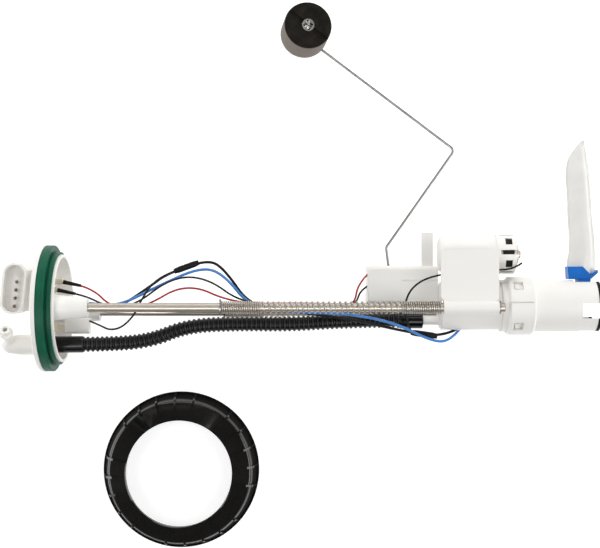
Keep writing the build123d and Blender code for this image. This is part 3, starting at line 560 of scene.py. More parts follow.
@dataclass(frozen=True)
class WovenMesh(Finish):
    """Fine woven filter cloth: warp and weft rise by turns, with painted shade in the holes between.

    threads is the thread spacing in metres.
    """

    threads: float = 0.00055
    stain: float = 55.0
    depth: float = 0.00009
    shine: float = 0.3
    fuzz: float = 0.15

    def paint(self, shade: Shade) -> None:
        """Over and under: the product of two sines along the piece's own map, in metres.

        Args:
            shade: the new material.
        """
        u, v, _ = shade.axes(shade.own_map())
        turn = math.pi / self.threads
        warp, weft = (u * turn).sine(), (v * turn).sine()
        weave = warp * weft * 0.5 + 0.5
        hole_in_shade = (1.0 - warp.magnitude()) * (1.0 - weft.magnitude())
        stain = shade.noise(shade.place(), self.stain, 4.0).step(0.35, 0.8)
        # The holes of the weave are darkened with painted shade; the stains are real.
        share = (stain * 0.5 + hole_in_shade * 0.7).held(0.0, 1.0)
        shade.set(Base_Color=shade.mix(share, self.colour, self.tint))
        shade.set(Roughness=self.rough + weave * 0.08)
        shade.set(Specular_IOR_Level=self.shine, Sheen_Weight=self.fuzz)
        shade.bump(weave * 0.7 + (1.0 - hole_in_shade) * 0.3, self.depth)


@dataclass(frozen=True)
class PrintedCard(Finish):
    """Resistor card: pale ceramic with dark printed tracks across the wiper's sweep.

    The tracks lie pitch apart, between the Y values low and high, with edges that blur over blur.
    All four are in metres.
    """

    pitch: float = 0.0016
    low: float = 0.0262
    high: float = 0.0318
    blur: float = 0.0003
    grain: float = 900.0
    depth: float = 0.00002
    edge: float = 0.0002

    def paint(self, shade: Shade) -> None:
        """Tracks from a sine along X, cut to the middle of the card.

        Args:
            shade: the new material.
        """
        where = shade.place()
        x, y, _ = shade.axes(where)
        track = (x * (2 * math.pi / self.pitch)).sine().step(-0.2, 0.2)
        band = (y - self.low).step(0.0, self.blur) * (self.high - y).step(0.0, self.blur)
        grain = shade.noise(where, self.grain)
        share = (track * band * 0.9 + grain * 0.08).held(0.0, 1.0)
        shade.set(Base_Color=shade.mix(share, self.colour, self.tint))
        shade.set(Roughness=self.rough + grain * 0.1)
        shade.bump(grain * 0.4 + track * band * 0.6, self.depth, self.edge)


DRAWN: Point = (60.0, 200.0, 200.0)
GROUND: Point = (60.0, 400.0, 400.0)
WOUND: Point = (200.0, 1600.0, 1600.0)
SINTERED: Point = (1500.0, 1500.0, 1500.0)
CUT: Point = (700.0, 700.0, 700.0)

WHITE = MouldedPlastic("satin_white_acetal", "white_plastic",
                       (0.86, 0.845, 0.81), (0.87, 0.85, 0.81), 0.42)
BLACK = MouldedPlastic("black_moulding", "black_plastic",
                       (0.008, 0.008, 0.008), (0.015, 0.0146, 0.014), 0.42, shine=0.15)
STRAINER_BLUE = MouldedPlastic("blue_nylon", "blue_plastic",
                               (0.001, 0.1, 0.42), (0.005, 0.155, 0.56), 0.3, shine=0.1)
SHRINK = MouldedPlastic("shrink_sleeve", "black_sleeve",
                        (0.006, 0.006, 0.006), (0.012, 0.0115, 0.011), 0.5,
                        cloud=120.0, grain=1500.0, depth=0.00005, shine=0.12)
GREEN = SealRubber("green_seal_rubber", "green_rubber",
                   (0.003, 0.082, 0.042), (0.007, 0.115, 0.062), 0.42, shine=0.12)
PAD = SealRubber("black_pad_rubber", "black_rubber",
                 (0.006, 0.006, 0.006), (0.012, 0.0116, 0.011), 0.55, shine=0.12)
FERRITE = SealRubber("sintered_ferrite", "magnet",
                     (0.05, 0.05, 0.052), (0.09, 0.088, 0.086), 0.6)
TINNED = Metal("tinned_strip", "tinned_brass", (0.68, 0.63, 0.52), (0.55, 0.49, 0.38), 0.32)
# A darker copy of the tinned brass: painted shade that stands in for the shadow deep in the socket.
SHADED_PIN = Metal("shaded_pin", "tinned_brass", (0.2, 0.15, 0.12), (0.12, 0.09, 0.07), 0.4)
NUT = Metal("push_nut_steel", "spring_steel", (0.2, 0.195, 0.185), (0.1, 0.097, 0.09), 0.22)
CLIP = Metal("clip_steel", "rod_steel", (0.3, 0.29, 0.28), (0.2, 0.19, 0.18), 0.34, CUT)
ROD = Metal("ground_rod_steel", "rod_steel",
            (0.40, 0.363, 0.318), (0.34, 0.308, 0.268), 0.36, GROUND, depth=0.0)
ARM = Metal("bright_arm_wire", "rod_steel",
            (0.27, 0.265, 0.255), (0.22, 0.215, 0.205), 0.3, DRAWN, depth=0.0)
SPRING = Metal("drawn_spring_wire", "spring_steel",
               (0.42, 0.383, 0.336), (0.34, 0.31, 0.27), 0.3, DRAWN, depth=0.0)
BRONZE = Metal("sintered_bronze", "bronze",
               (0.5, 0.33, 0.15), (0.36, 0.22, 0.1), 0.45, SINTERED, depth=0.00003)
COPPER = Metal("wound_copper", "armature",
               (0.5, 0.2, 0.08), (0.2, 0.1, 0.06), 0.4, WOUND, depth=0.00005)
RED = Insulation("red_insulation", "wire_red",
                 (0.36, 0.01, 0.014), (0.44, 0.022, 0.026), 0.38, shine=0.2)
BLUE = Insulation("blue_insulation", "wire_blue",
                  (0.035, 0.19, 0.55), (0.06, 0.25, 0.64), 0.36)
BLACK_WIRE = Insulation("black_insulation", "wire_black",
                        (0.005, 0.005, 0.0054), (0.011, 0.0108, 0.0105), 0.42, shine=0.14)
# Its tint is the paler colour of the crests: a painted highlight with some scuffs.
HOSE = HoseNylon("convoluted_nylon", "hose_black",
                 (0.0015, 0.0015, 0.0016), (0.013, 0.0126, 0.012), 0.2)
# Its tint colours the real stains and the painted shade in the holes of the weave.
SOCK = WovenMesh("filter_mesh", "sock_mesh", (0.84, 0.83, 0.8), (0.7, 0.685, 0.65), 0.72)
CARD = PrintedCard("resistor_card", "card_ceramic", (0.72, 0.7, 0.64), (0.06, 0.055, 0.05), 0.5)
# Its tint is the rim's paler colour: painted light from the floor on the float's side.
FLOAT = FloatRubber("closed_cell_rubber", "float_rubber",
                    (0.008, 0.0065, 0.005), (0.2, 0.172, 0.15), 0.7,
                    centre=(0.1955, 0.2265, -0.0425), axis=(0.127, 0.103, 0.987))
RING = RingNylon("glossy_black_nylon", "ring_black",
                 (0.003, 0.0027, 0.0023), (0.007, 0.0063, 0.0056), 0.35)


# Surfaces


def quad_grid(rows: int, columns: int, closed: bool) -> np.ndarray:
    """Quads over a grid of points that are numbered row by row.

    Args:
        rows: points along the first parameter.
        columns: points along the second.
        closed: whether the last column joins the first.

    Returns:
        An array of (quads, 4) point numbers.
    """
    row = np.arange(rows - 1)[:, None] * columns
    column = np.arange(columns if closed else columns - 1)[None, :]
    after = (column + 1) % columns
    corners = (row + column, row + after, row + columns + after, row + columns + column)
    return np.stack([c.ravel() for c in corners], axis=1)


def make_piece(name: str, points: np.ndarray, finish: Finish,
               uv: Optional[np.ndarray] = None) -> bpy.types.Object:
    """A closed tube-like mesh from a grid of points, with both ends capped.

    Args:
        name: the piece's name.
        points: (rows, columns, 3), where the last column joins the first.
        finish: its finish.
        uv: (rows, columns + 1, 2) map in metres, or None.

    Returns:
        The object, in the scene, with its place in its mesh.
    """
    rows, columns, _ = points.shape
    quads = quad_grid(rows, columns, True)
    first = np.arange(columns)[::-1]
    last = np.arange(columns) + (rows - 1) * columns
    mesh = bpy.data.meshes.new(name)
    mesh.from_pydata(points.reshape(-1, 3), [], [*quads.tolist(), first.tolist(), last.tolist()])
    smooth = np.ones(len(mesh.polygons), bool)
    smooth[-2:] = False
    mesh.polygons.foreach_set("use_smooth", smooth)
    if uv is not None:
        wide = quad_grid(rows, columns + 1, False)
        corners = uv.reshape(-1, 2)[wide.ravel()]
        ends = np.concatenate([uv[0, first], uv[-1, np.arange(columns)]])
        layer = mesh.uv_layers.new(name=MAP)
        layer.data.foreach_set("uv", np.concatenate([corners, ends]).astype(np.float32).ravel())
    mesh.validate()
    piece = bpy.data.objects.new(name, mesh)
    bpy.context.scene.collection.objects.link(piece)
    mesh.materials.append(finish.material())
    log.info("%s: %d points", name, rows * columns)
    return piece


def follow(piece: bpy.types.Object, ramp: Ramp) -> None:
    """Ties a piece to its one body; a piece with a ramp only has its place baked into its mesh.

    Args:
        piece: the piece.
        ramp: its one body, or where it changes from the flange to the module.
    """
    if isinstance(ramp, Body):
        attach(piece, ramp.value)
    else:
        start, end = (x * MM for x in ramp)
        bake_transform(piece)


def spline_points(points: Sequence[Point]) -> np.ndarray:
    """The line of a smooth spline whose control points are the route's.

    Args:
        points: control points in millimetres.

    Returns:
        (n, 3) points along the spline in metres, as Blender works them out.
    """
    curve = bpy.data.curves.new("route", "CURVE")
    curve.dimensions = "3D"
    curve.resolution_u = ROUTE_STEPS
    spline = curve.splines.new("NURBS")
    spline.points.add(len(points) - 1)
    at = np.column_stack([np.array(points, float) * MM, np.ones(len(points))])
    spline.points.foreach_set("co", at.ravel())
    spline.order_u = ROUTE_ORDER
    spline.use_endpoint_u = True
    holder = bpy.data.objects.new("route", curve)
    mesh = bpy.data.meshes.new_from_object(holder)
    line = np.empty(len(mesh.vertices) * 3)
    mesh.vertices.foreach_get("co", line)
    bpy.data.meshes.remove(mesh)
    bpy.data.objects.remove(holder)
    bpy.data.curves.remove(curve)
    return line.reshape(-1, 3)


def lengths_along(line: np.ndarray) -> np.ndarray:
    """Distance along a line of points from its first one."""
    return np.concatenate([[0.0], np.cumsum(np.linalg.norm(np.diff(line, axis=0), axis=1))])


def spaced(line: np.ndarray, gap: float) -> np.ndarray:
    """Spaces a line's points evenly.

    Args:
        line: (n, 3) points.
        gap: about how far apart they are to be.

    Returns:
        (m, 3) points on the same line.
    """
    along = lengths_along(line)
    at = np.linspace(0.0, along[-1], max(2, math.ceil(along[-1] / gap) + 1))
    return np.stack([np.interp(at, along, line[:, k]) for k in range(3)], axis=1)


def sections_round(first: np.ndarray, second: np.ndarray, sides: int) -> np.ndarray:
    """Unit circles: cos t * first + sin t * second.

    Args:
        first: (n, 3) unit vectors.
        second: (n, 3) unit vectors square to them, or one for all, as (1, 3).
        sides: points round each circle.

    Returns:
        (n, sides, 3) directions from each centre.
    """
    turn = np.linspace(0.0, 2 * math.pi, sides, endpoint=False)[None, :, None]
    return np.cos(turn) * first[:, None] + np.sin(turn) * second[:, None]


def tube(line: np.ndarray, radii: np.ndarray, sides: int) -> Tuple[np.ndarray, np.ndarray]:
    """A round section carried along a line: P(s, t) = line(s) + r(s) * (cos t * side + sin t * up).

    Args:
        line: (n, 3) centres.
        radii: (n,) radius at each centre.
        sides: points round the section.

    Returns:
        (n, sides, 3) points, and (n, sides + 1, 2) map in metres along and round.
    """
    ahead = np.gradient(line, axis=0)
    ahead /= np.linalg.norm(ahead, axis=1, keepdims=True)
    side = np.cross(ahead, (0.0, 0.0, 1.0))
    side /= np.linalg.norm(side, axis=1, keepdims=True)
    up = np.cross(side, ahead)
    points = line[:, None] + radii[:, None, None] * sections_round(side, up, sides)
    along = np.repeat(lengths_along(line)[:, None], sides + 1, axis=1)
    round_it = np.linspace(0.0, 1.0, sides + 1)[None, :] * (2 * math.pi * radii.max())
    return points, np.stack([along, np.broadcast_to(round_it, along.shape)], axis=2)


# Sub-assemblies


@dataclass
class SubAssembly:
    """Pieces that are built and dressed together."""

    def dress(self, finish: Finish, *nodes: str) -> None:
        """Gives CAD nodes a finish.

        Args:
            finish: what they are made of.
            nodes: their names.
        """
        for name in nodes:
            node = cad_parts[name]
            if not node.material_slots:
                node.data.materials.append(finish.material())
            for slot in node.material_slots:
                slot.material = finish.material()
            log.info("%s: %s", name, finish.name)

    def build(self) -> None:
        """Builds and dresses the pieces."""
        raise NotImplementedError


@dataclass
class Flange(SubAssembly):
    """The flange with its seal, socket pins and wire terminals."""

    def build(self) -> None:
        """Dresses the CAD nodes."""
        self.dress(WHITE, "flange_cover", "ground_holder")
        self.dress(GREEN, "flange_seal")
        self.dress(SHADED_PIN, "connector_pins")
        self.dress(TINNED, "wire_terminals", "ground_tab")
        self.dress(SHRINK, "terminal_sleeves")


@dataclass
class ReturnSpring(SubAssembly):
    """One coil spring on its guide rod: closed coils at both ends and open ones between.

    Sizes in millimetres. gap lies between the closed coils, and the open pitch sets in over ease.
    """

    name: str
    node: str
    rod_y: float
    rod_z: float
    start: float = 131.1
    end: float = 303.6
    closed: float = 31.9
    mean_r: float = 4.4
    wire: float = 1.4
    gap: float = 0.32
    pitch: float = 4.32
    ease: float = 5.0
    samples: int = 4000
    steps: int = 30
    sides: int = 10
    ramp: Ramp = (155.0, 280.0)

    def centres(self) -> np.ndarray:
        """The wire's centre line: x grows by the local pitch for each turn.

        Returns:
            (n, 3) points in metres. The pitch is the wire's size and a small gap in the closed coils, and
            eases into the open pitch over a few millimetres.
        """
        first, last = self.start + self.wire / 2, self.end - self.wire / 2
        x = np.linspace(first, last, self.samples)
        into = np.clip((x - self.start - self.closed + self.ease / 2) / self.ease, 0, 1)
        out = np.clip((self.end - self.closed + self.ease / 2 - x) / self.ease, 0, 1)
        share = np.minimum(into, out)
        tight = self.wire + self.gap
        pitch = tight + (self.pitch - tight) * share * share * (3 - 2 * share)
        turns = np.concatenate([[0.0], np.cumsum(np.diff(x) * 0.5 * (1 / pitch[1:] + 1 / pitch[:-1]))])
        at = np.linspace(0.0, turns[-1], int(turns[-1] * self.steps))
        angle = 2 * math.pi * at
        y = self.rod_y + self.mean_r * np.cos(angle)
        z = self.rod_z + self.mean_r * np.sin(angle)
        return np.column_stack([np.interp(at, turns, x), y, z]) * MM

    def build(self) -> None:
        """The wire's round section lies in the plane of the coil's radius and the rod's axis.

        P(a, t) = centre(a) + r * (cos t * radial(a) + sin t * x).
        """
        line = self.centres()
        radial = line - np.array((0.0, self.rod_y * MM, self.rod_z * MM))
        radial[:, 0] = 0.0
        radial /= np.linalg.norm(radial, axis=1, keepdims=True)
        axis = np.array([(1.0, 0.0, 0.0)])
        rings = sections_round(radial, axis, self.sides)
        piece = make_piece(self.name, line[:, None] + self.wire / 2 * MM * rings, SPRING)
        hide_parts(self.node)
        follow(piece, self.ramp)


@dataclass
class GuideRods(SubAssembly):
    """The two guide rods with their clips and springs."""

    front: ReturnSpring = field(
        default_factory=lambda: ReturnSpring("return_spring_front", "spring_front", 1.4, 28.0))
    rear: ReturnSpring = field(
        default_factory=lambda: ReturnSpring("return_spring_rear", "spring_rear", -3.7, -28.0))

    def build(self) -> None:
        """Dresses rods and clips and winds the springs."""
        self.dress(ROD, "guide_rod_front", "guide_rod_rear")
        self.dress(CLIP, "spring_stops", "rod_end_clips")
        self.front.build()
        self.rear.build()


@dataclass(frozen=True)
class Wire:
    """One wire of the harness, with its route in millimetres. step lies between its sections."""

    name: str
    node: str
    finish: Finish
    diameter: float
    route: Tuple[Point, ...]
    ramp: Ramp
    step: float = 0.8
    sides: int = 14

    def build(self) -> None:
        """A round tube along the route's spline."""
        line = spaced(spline_points(self.route), self.step * MM)
        points, uv = tube(line, np.full(len(line), self.diameter / 2 * MM), self.sides)
        piece = make_piece(self.name, points, self.finish, uv)
        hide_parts(self.node)
        follow(piece, self.ramp)
        self.diameter * MM


@dataclass
class Hose(SubAssembly):
    """The corrugated fuel hose with a plain cuff at both ends. Sizes in millimetres.

    square is how square the corrugation's wave is, and fade how far it takes to die at a cuff. Over
    the last lip of each end the radius shrinks by lip_drop.
    """

    crest_d: float = 12.4
    valley_d: float = 10.0
    cuff_d: float = 13.2
    cuff: float = 23.0
    far_cuff: float = 18.0
    pitch: float = 3.78
    square: float = 1.6
    fade: float = 1.2
    lip: float = 0.7
    lip_drop: float = 0.5
    step: float = 0.33
    sides: int = 40
    ramp: Ramp = (30.0, 270.0)
    route: Tuple[Point, ...] = (
        (-4, -28.9, 2), (33, -28.9, 2), (72, -26.4, 1.6), (102, -14.2, 1), (140, -12.3, 0.2),
        (184, -12.9, -0.6), (224, -10.4, -1.2), (258, -9.6, -1), (290.5, -9.6, -1))

    def build(self) -> None:
        """r(s) follows a rounded square wave between crest and valley, and is plain in both cuffs.

        The wave is tanh(k sin(2 pi s / pitch)) with k = square, and a straight ramp fades it out at
        each cuff. The crest attribute keeps its height for the finish, which paints light on the crests
        and shade in the valleys and the cuffs.
        """
        line = spaced(spline_points(self.route), self.step * MM)
        along = lengths_along(line) / MM
        wave = np.tanh(self.square * np.sin(2 * math.pi * along / self.pitch)) / math.tanh(self.square)
        crest = 0.5 + 0.5 * wave
        near = np.clip((along - self.cuff) / self.fade, 0, 1)
        far = np.clip((along[-1] - self.far_cuff - along) / self.fade, 0, 1)
        plain = 1 - np.minimum(near, far)
        valley, top, cuff = self.valley_d / 2, self.crest_d / 2, self.cuff_d / 2
        radii = (valley + (top - valley) * crest) * (1 - plain) + cuff * plain
        to_end = np.minimum(along, along[-1] - along)
        radii -= self.lip_drop * np.clip(1 - to_end / self.lip, 0, 1) ** 2
        points, uv = tube(line, radii * MM, self.sides)
        piece = make_piece("hose_corrugated", points, HOSE, uv)
        height = piece.data.attributes.new(CREST, "FLOAT", "POINT")
        shown = np.repeat(crest * (1 - plain), self.sides)
        height.data.foreach_set("value", shown.astype(np.float32))
        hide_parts("corrugated_hose")
        follow(piece, self.ramp)


@dataclass
class Harness(SubAssembly):
    """The fuel hose, and the wires with their splices. Sizes in millimetres.

    A wire starts inside its shrink sleeve, as far in as held, and runs straight on for straight.
    """

    hose: Hose = field(default_factory=Hose)
    thin: float = 1.5
    thick: float = 2.2
    pin_y: Tuple[float, float, float, float] = (2.05, 8.42, 14.78, 21.15)
    pin_z: float = 2.0
    sleeve_end_x: Tuple[float, float] = (13.07, 17.67)
    sleeve_drop: float = 3.12
    sleeve_turn: float = math.radians(-12.0)
    held: float = 4.0
    straight: float = 9.0

    def leaving(self, pin: int) -> Tuple[Point, Point]:
        """The first two points of a wire, from inside its shrink sleeve straight out.

        Args:
            pin: number of the socket pin, from the outlet's side.

        Returns:
            Two points in millimetres.
        """
        x, y = self.sleeve_end_x[pin % 2], self.pin_y[pin] - self.sleeve_drop
        ahead, aside = math.cos(self.sleeve_turn), math.sin(self.sleeve_turn)
        inside, outside = ((x + far * ahead, y + far * aside, self.pin_z)
                           for far in (-self.held, self.straight))
        return inside, outside

    def wires(self) -> Sequence[Wire]:
        """Gives the six wires their routes.

        Returns:
            The wires, in the order in which they are laid.
        """
        return (
            Wire("wire_sender_red", "sender_wire_red", RED, self.thin,
                 (*self.leaving(3), (43, 0.8, 8), (68, 0.2, 10), (103, 21, 11), (140, 3.8, 8),
                  (191, 4.2, 0), (226, 3.2, -7), (236.5, 3, -8), (239.5, 20, -12), (249, 28.6, -14)),
                 (118, 230)),
            Wire("wire_sender_black", "sender_wire_black", BLACK_WIRE, self.thin,
                 (*self.leaving(2), (37, 2.2, 4), (59, 0.8, 4), (90, 24.8, 4), (118, 24.8, 4),
                  (147, 3.5, 5), (191, 2.6, -5), (229, 3, -16), (238.5, 3.6, -17), (241.5, 14, -19),
                  (249, 18.4, -20)),
                 (120, 232)),
            Wire("wire_pump_blue", "pump_wire_blue", BLUE, self.thick,
                 (*self.leaving(1), (48, 2, -3), (80, 18.5, -3), (114, 33.4, -4), (132, 26.5, -4),
                  (153, 0, -4), (192, -3.4, 8), (228, -3.4, 15), (267, -10.8, 16.5), (297, -26, 15),
                  (312, -25.6, 9), (320.6, -15.6, 3)),
                 (122, 272)),
            Wire("wire_pump_black", "pump_wire_black", BLACK_WIRE, self.thick,
                 (*self.leaving(0), (45, -0.6, -8), (73, 18.5, -10), (84, 27, -10), (117.5, 39.2, -10),
                  (131, 32, -11), (153, 0, -11), (196, -3.6, 1), (234, -8.4, 9.6), (275.5, -18.2, 9.6),
                  (306, -22.6, 9.6), (320.6, -15.6, -3)),
                 (122, 272)),
            Wire("wire_ground_upper", "ground_wire_upper", BLACK_WIRE, self.thin,
                 ((21.5, -9.8, -6.6), (32, -13.6, -2), (41, -17.4, 5), (52, -14.8, 12), (62.5, -4.5, 16),
                  (68.5, 9.5, 14), (78.5, 24.5, 2), (91.5, 29.8, -8)),
                 Body.FLANGE),
            Wire("wire_ground_lower", "ground_wire_lower", BLACK_WIRE, self.thin,
                 ((281, -19.2, 11.6), (275.5, -8, 14), (275.6, 10, 16), (287, 22.8, 18), (309, 28.4, 20.5),
                  (338, 30.8, 22), (359, 30.6, 22), (367.4, 36, 13.6)),
                 Body.MODULE))

    def build(self) -> None:
        """Lays the hose and the wires, and dresses the splice sleeves."""
        self.hose.build()
        for wire in self.wires():
            wire.build()
        self.dress(SHRINK, "splice_sleeve_upper", "splice_sleeve_lower")


@dataclass
class PumpEnd(SubAssembly):
    """The carrier, the pump in its sleeve, and the pressure regulator."""

    def build(self) -> None:
        """Dresses the CAD nodes."""
        self.dress(WHITE, "carrier", "pump_sleeve", "regulator_cap")
        self.dress(PAD, "foot_pads", "pump_isolator", "pump_outlet_grommet", "regulator_o_rings")
        self.dress(BLACK, "pump_outlet_cover", "pump_inlet_cover", "impeller", "regulator_holder")
        self.dress(BRONZE, "shaft_bushes")
        self.dress(CLIP, "pump_can", "pump_mid_plate", "rotor_shaft")
        self.dress(ROD, "regulator_body")
        self.dress(FERRITE, "pump_magnets")
        self.dress(COPPER, "rotor_armature")
        self.dress(TINNED, "ground_ring_terminal")


@dataclass(frozen=True)
class Wave:
    """A sine over the sock: size * sin(along * l + across * s + shift), with l and s as in Strainer."""

    size: float
    along: float
    across: float
    shift: float

    def at(self, length: np.ndarray, s: np.ndarray) -> np.ndarray:
        """The wave's height at the places given."""
        return self.size * np.sin(self.along * length + self.across * s + self.shift)


@dataclass
class Strainer(SubAssembly):
    """The blue frame and the mesh sock. Sizes in millimetres.

    rows are (y, middle x, half width, half thickness). On the sock, l runs from 0 at the frame to 1
    at the tip, and s from -1 to 1 across. The neck's wave dies over neck_end and sets in over
    neck_start, both as shares of the length.
    """

    rows: Tuple[Tuple[float, float, float, float], ...] = (
        (27.5, 417.2, 10.6, 4.4), (33.3, 417.4, 11.4, 5.0), (46, 418.4, 10.5, 6.3), (70, 417.0, 9.9, 6.2),
        (98, 415.3, 9.5, 5.2), (112, 414.6, 9.1, 4.0), (122, 415.2, 6.9, 2.4), (129, 417.4, 3.6, 1.2),
        (134.4, 419.4, 1.0, 0.4))
    middle_z: float = -2.0
    least_half: float = 0.8
    least_body: float = 0.5
    seam: float = 1.8
    seam_t: float = 0.35
    crown: float = 0.28
    fold: float = 0.58
    fold_share: float = 0.6
    creases: Tuple[Wave, ...] = (Wave(0.55, 7.3, 2.6, 0.8), Wave(0.3, 13.0, -2.7, 0.0))
    crease_h: float = 0.3
    neck: Wave = Wave(1.0, 0.0, 7.0, 1.3)
    neck_end: float = 0.11
    neck_start: float = 0.03
    neck_h: float = 1.1
    ripples: Tuple[Wave, ...] = (Wave(0.12, 23.0, 0.0, 1.1), Wave(0.08, 51.0, 0.0, 0.0))
    along: int = 180
    across: int = 48
    fill: float = 0.35

    def sections(self, y: np.ndarray) -> Sequence[np.ndarray]:
        """Cubic Hermite curves through the rows, with the slopes of their neighbours.

        Args:
            y: (n,) places along the sock.

        Returns:
            Middle x, half width and half thickness, each (n, 1).
        """
        given = np.array(self.rows)
        slope = np.gradient(given[:, 1:], given[:, 0], axis=0)
        place = np.clip(np.searchsorted(given[:, 0], y, side="right") - 1, 0, len(given) - 2)
        span = given[place + 1, 0] - given[place, 0]
        t = ((y - given[place, 0]) / span)[:, None]
        a, b = given[place, 1:], given[place + 1, 1:]
        da, db = slope[place] * span[:, None], slope[place + 1] * span[:, None]
        row = ((2 * t**3 - 3 * t**2 + 1) * a + (t**3 - 2 * t**2 + t) * da
               + (3 * t**2 - 2 * t**3) * b + (t**3 - t**2) * db)
        return [row[:, k:k + 1] for k in range(3)]

    def rise(self, s: np.ndarray, side: np.ndarray, half: np.ndarray) -> np.ndarray:
        """Height of the cloth as a share of the half thickness.

        It is (1 - |s|^2.4)^0.7 inside the welded seam, with its ridge pushed towards +X. On top a
        sharp fold at s = fold is mixed in: 1 - w^1.2, where w is 0 on the fold and 1 at either edge. It
        dies at the seam as 1 - |s|^6.

        Args:
            s: (1, m) places across.
            side: (1, m), 1 on top and -1 underneath.
            half: (n, 1) half widths.

        Returns:
            (n, m) shares.
        """
        body = np.clip(np.abs(s) * half / np.maximum(half - self.seam, self.least_body), 0, 1)
        rise = np.clip(1 - body**2.4, 0, 1) ** 0.7 * (1 + self.crown * s)
        w = np.where(s < self.fold, (self.fold - s) / (1 + self.fold), (s - self.fold) / (1 - self.fold))
        folded = (1 - w**1.2) * np.clip(1 - body**6, 0, 1)
        return np.where(side > 0, rise + self.fold_share * (folded - rise), rise)

    def sock(self) -> None:
        """A flat bag: P(l, s) has the row's width across and a crowned thickness that ends in a seam.

        The columns run from edge to edge over the top and back under. Waves add creases to both
        sides, puckers to the top at the neck, and ripples to the edges, which fade as |s|^6.
        """
        y = np.linspace(self.rows[0][0], self.rows[-1][0], self.along)
        middle, half, thick = self.sections(y)
        half = np.maximum(half, self.least_half)
        over = np.linspace(-1.0, 1.0, self.across)
        s = np.concatenate([over, over[::-1][1:-1]])[None, :]
        side = np.concatenate([np.ones(self.across), -np.ones(self.across - 2)])[None, :]
        rise = self.rise(s, side, half)
        length = (y[:, None] - y[0]) / (y[-1] - y[0])
        crease = self.crease_h * sum(wave.at(length, s) for wave in self.creases) * rise
        at_neck = np.exp(-length / self.neck_end) * (1 - np.exp(-length / self.neck_start))
        pucker = self.neck_h * at_neck * self.neck.at(length, s) * rise
        lift = np.where(side > 0, thick * rise + crease + pucker, crease - thick * rise)
        z = self.middle_z + lift + side * self.seam_t / 2
        x = middle + half * s + sum(wave.at(length, s) for wave in self.ripples) * np.abs(s) ** 6
        points = np.stack([x, np.broadcast_to(y[:, None], x.shape), z], axis=2) * MM
        half_widths_round = 4.0
        turn = np.linspace(0.0, half_widths_round, s.shape[1] + 1)[None, :]
        uv = np.stack([turn * half * MM, np.repeat(y[:, None] * MM, s.shape[1] + 1, axis=1)], axis=2)
        piece = make_piece("filter_sock", points[:, ::-1], SOCK, uv)
        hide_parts("strainer_sock")
        follow(piece, Body.MODULE)

    def build(self) -> None:
        """Dresses the frame and sews the sock."""
        self.dress(STRAINER_BLUE, "strainer_frame")
        self.sock()


@dataclass
class LevelSender(SubAssembly):
    """The sender block, its arm and the float."""

    def build(self) -> None:
        """Dresses the CAD nodes."""
        self.dress(WHITE, "sender_housing", "sender_back_plate")
        self.dress(BLACK, "arm_hub")
        self.dress(CARD, "sender_card")
        self.dress(CLIP, "post_cap")
        self.dress(ARM, "float_arm")
        self.dress(NUT, "float_retainer")
        self.dress(BRONZE, "wiper")
        self.dress(FLOAT, "level_float")


@dataclass
class LockRing(SubAssembly):
    """The loose black ring."""

    def build(self) -> None:
        """Dresses the ring."""
        self.dress(RING, "lock_ring")


# Stage


@dataclass(frozen=True)
class Softbox:
    """A rectangular lamp.

    place is its middle in metres, turn its turn about X, Y and Z in degrees from straight down, and
    size its width and length in metres. One with lights_matt off is only mirrored in glossy surfaces.
    """

    name: str
    place: Point
    turn: Point
    size: Tuple[float, float]
    watts: float
    lights_matt: bool = True

    def build(self) -> None:
        """Hangs the lamp."""
        light = bpy.data.lights.new(self.name, "AREA")
        light.shape = "RECTANGLE"
        light.size, light.size_y = self.size
        light.energy = self.watts
        lamp = bpy.data.objects.new(self.name, light)
        lamp.location = self.place
        lamp.rotation_euler = tuple(math.radians(t) for t in self.turn)
        lamp.visible_diffuse = self.lights_matt
        bpy.context.scene.collection.objects.link(lamp)


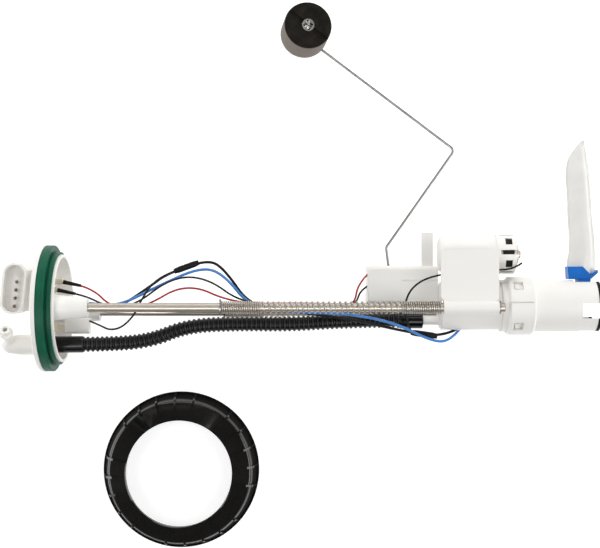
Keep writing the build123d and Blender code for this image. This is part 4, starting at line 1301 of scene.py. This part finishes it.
@dataclass
class Studio:
    """Table, soft light and the camera straight above. Sizes in metres.

    The table glows a little, so that it stays pale. sky_level and sky_top are the strength of the
    light from all round, at the horizon and overhead.
    """

    floor_z: float = -0.0506
    floor_half: float = 9.0
    floor_colour: Colour = (0.6, 0.6, 0.6)
    floor_tint: Colour = (0.63, 0.63, 0.63)
    floor_glow: float = 0.72
    sky_level: float = 0.13
    sky_top: float = 0.11
    light_colour: Tuple[float, float, float, float] = (1.0, 1.0, 1.0, 1.0)
    eye: Point = (0.1925, 0.0274, 0.984)
    lens: float = 73.8
    sensor: float = 36.0
    clip: Tuple[float, float] = (0.05, 20.0)
    lamps: Tuple[Softbox, ...] = (
        Softbox("strip_near", (0.19, -0.72, 1.7), (23, 0, 0), (1.7, 0.07), 19.0, lights_matt=False),
        Softbox("softbox_near", (0.19, -1.0, 1.0), (45, 0, 0), (1.4, 0.3), 3.0),
        Softbox("softbox_far", (0.19, 0.95, 1.15), (-39, 0, 0), (1.4, 0.3), 5.0),
        Softbox("softbox_left", (-0.55, 0.05, 1.35), (0, -29, 0), (0.5, 0.9), 5.6),
        Softbox("softbox_right", (0.93, 0.05, 1.35), (0, 29, 0), (0.5, 0.9), 5.6),
        Softbox("low_far", (0.19, 1.3, 0.33), (-76, 0, 0), (1.4, 0.42), 6.5),
        Softbox("low_right", (1.5, -0.1, 0.33), (0, 76, 0), (0.42, 1.2), 8.0),
        Softbox("low_left", (-1.1, -0.1, 0.13), (0, -83, 0), (0.25, 1.2), 5.5))

    def floor(self) -> None:
        """A pale plain table: a flat grid of 2 by 2 points."""
        edge = np.array((-self.floor_half, self.floor_half))
        x, y = np.meshgrid(edge, edge, indexing="ij")
        points = np.stack([x, y, np.full(x.shape, self.floor_z)], axis=2).reshape(-1, 3)
        mesh = bpy.data.meshes.new("table")
        mesh.from_pydata(points, [], quad_grid(2, 2, False)[:, ::-1].tolist())
        table = bpy.data.objects.new("table", mesh)
        bpy.context.scene.collection.objects.link(table)
        shade = Shade("pale_table")
        paper = shade.noise(shade.place(), 3.0, 3.0, 0.5)
        shade.set(Base_Color=shade.mix(paper, self.floor_colour, self.floor_tint))
        shade.set(Roughness=0.8, Specular_IOR_Level=0.2)
        shade.set(Emission_Color=self.light_colour, Emission_Strength=self.floor_glow)
        shade.material.cycles.emission_sampling = "NONE"
        mesh.materials.append(shade.material)

    def sky(self) -> None:
        """Faint light from all round, by the height of its direction."""
        world = bpy.data.worlds.new("studio")
        bpy.context.scene.world = world
        world.use_nodes = True
        sky = Nodes(world.node_tree)
        _, _, height = sky.axes(sky.node("ShaderNodeTexCoord").outputs["Generated"])
        levels = {"Value": height, "To Min": self.sky_level, "To Max": self.sky_top}
        strength = sky.node("ShaderNodeMapRange", None, levels)
        background = sky.tree.nodes["Background"]
        sky.feed(background.inputs["Strength"], strength.outputs[0])
        sky.feed(background.inputs["Color"], self.light_colour)

    def camera(self) -> None:
        """The camera looks straight down, with +Y up the picture."""
        data = bpy.data.cameras.new("camera")
        data.lens, data.sensor_width = self.lens, self.sensor
        data.clip_start, data.clip_end = self.clip
        eye = bpy.data.objects.new("camera", data)
        eye.location = self.eye
        bpy.context.scene.collection.objects.link(eye)
        bpy.context.scene.camera = eye

    def build(self) -> None:
        """Sets the stage."""
        self.floor()
        self.sky()
        for lamp in self.lamps:
            lamp.build()
        self.camera()
        view = bpy.context.scene.view_settings
        view.view_transform = "Standard"
        view.look = "None"


def main() -> None:
    """Builds the stage and the sub-assemblies in order."""
    Studio().build()
    for part in (Harness(), Flange(), GuideRods(), PumpEnd(), Strainer(), LevelSender(), LockRing()):
        part.build()
        log.info("%s done", type(part).__name__)


if __name__ == "__main__":
    main()
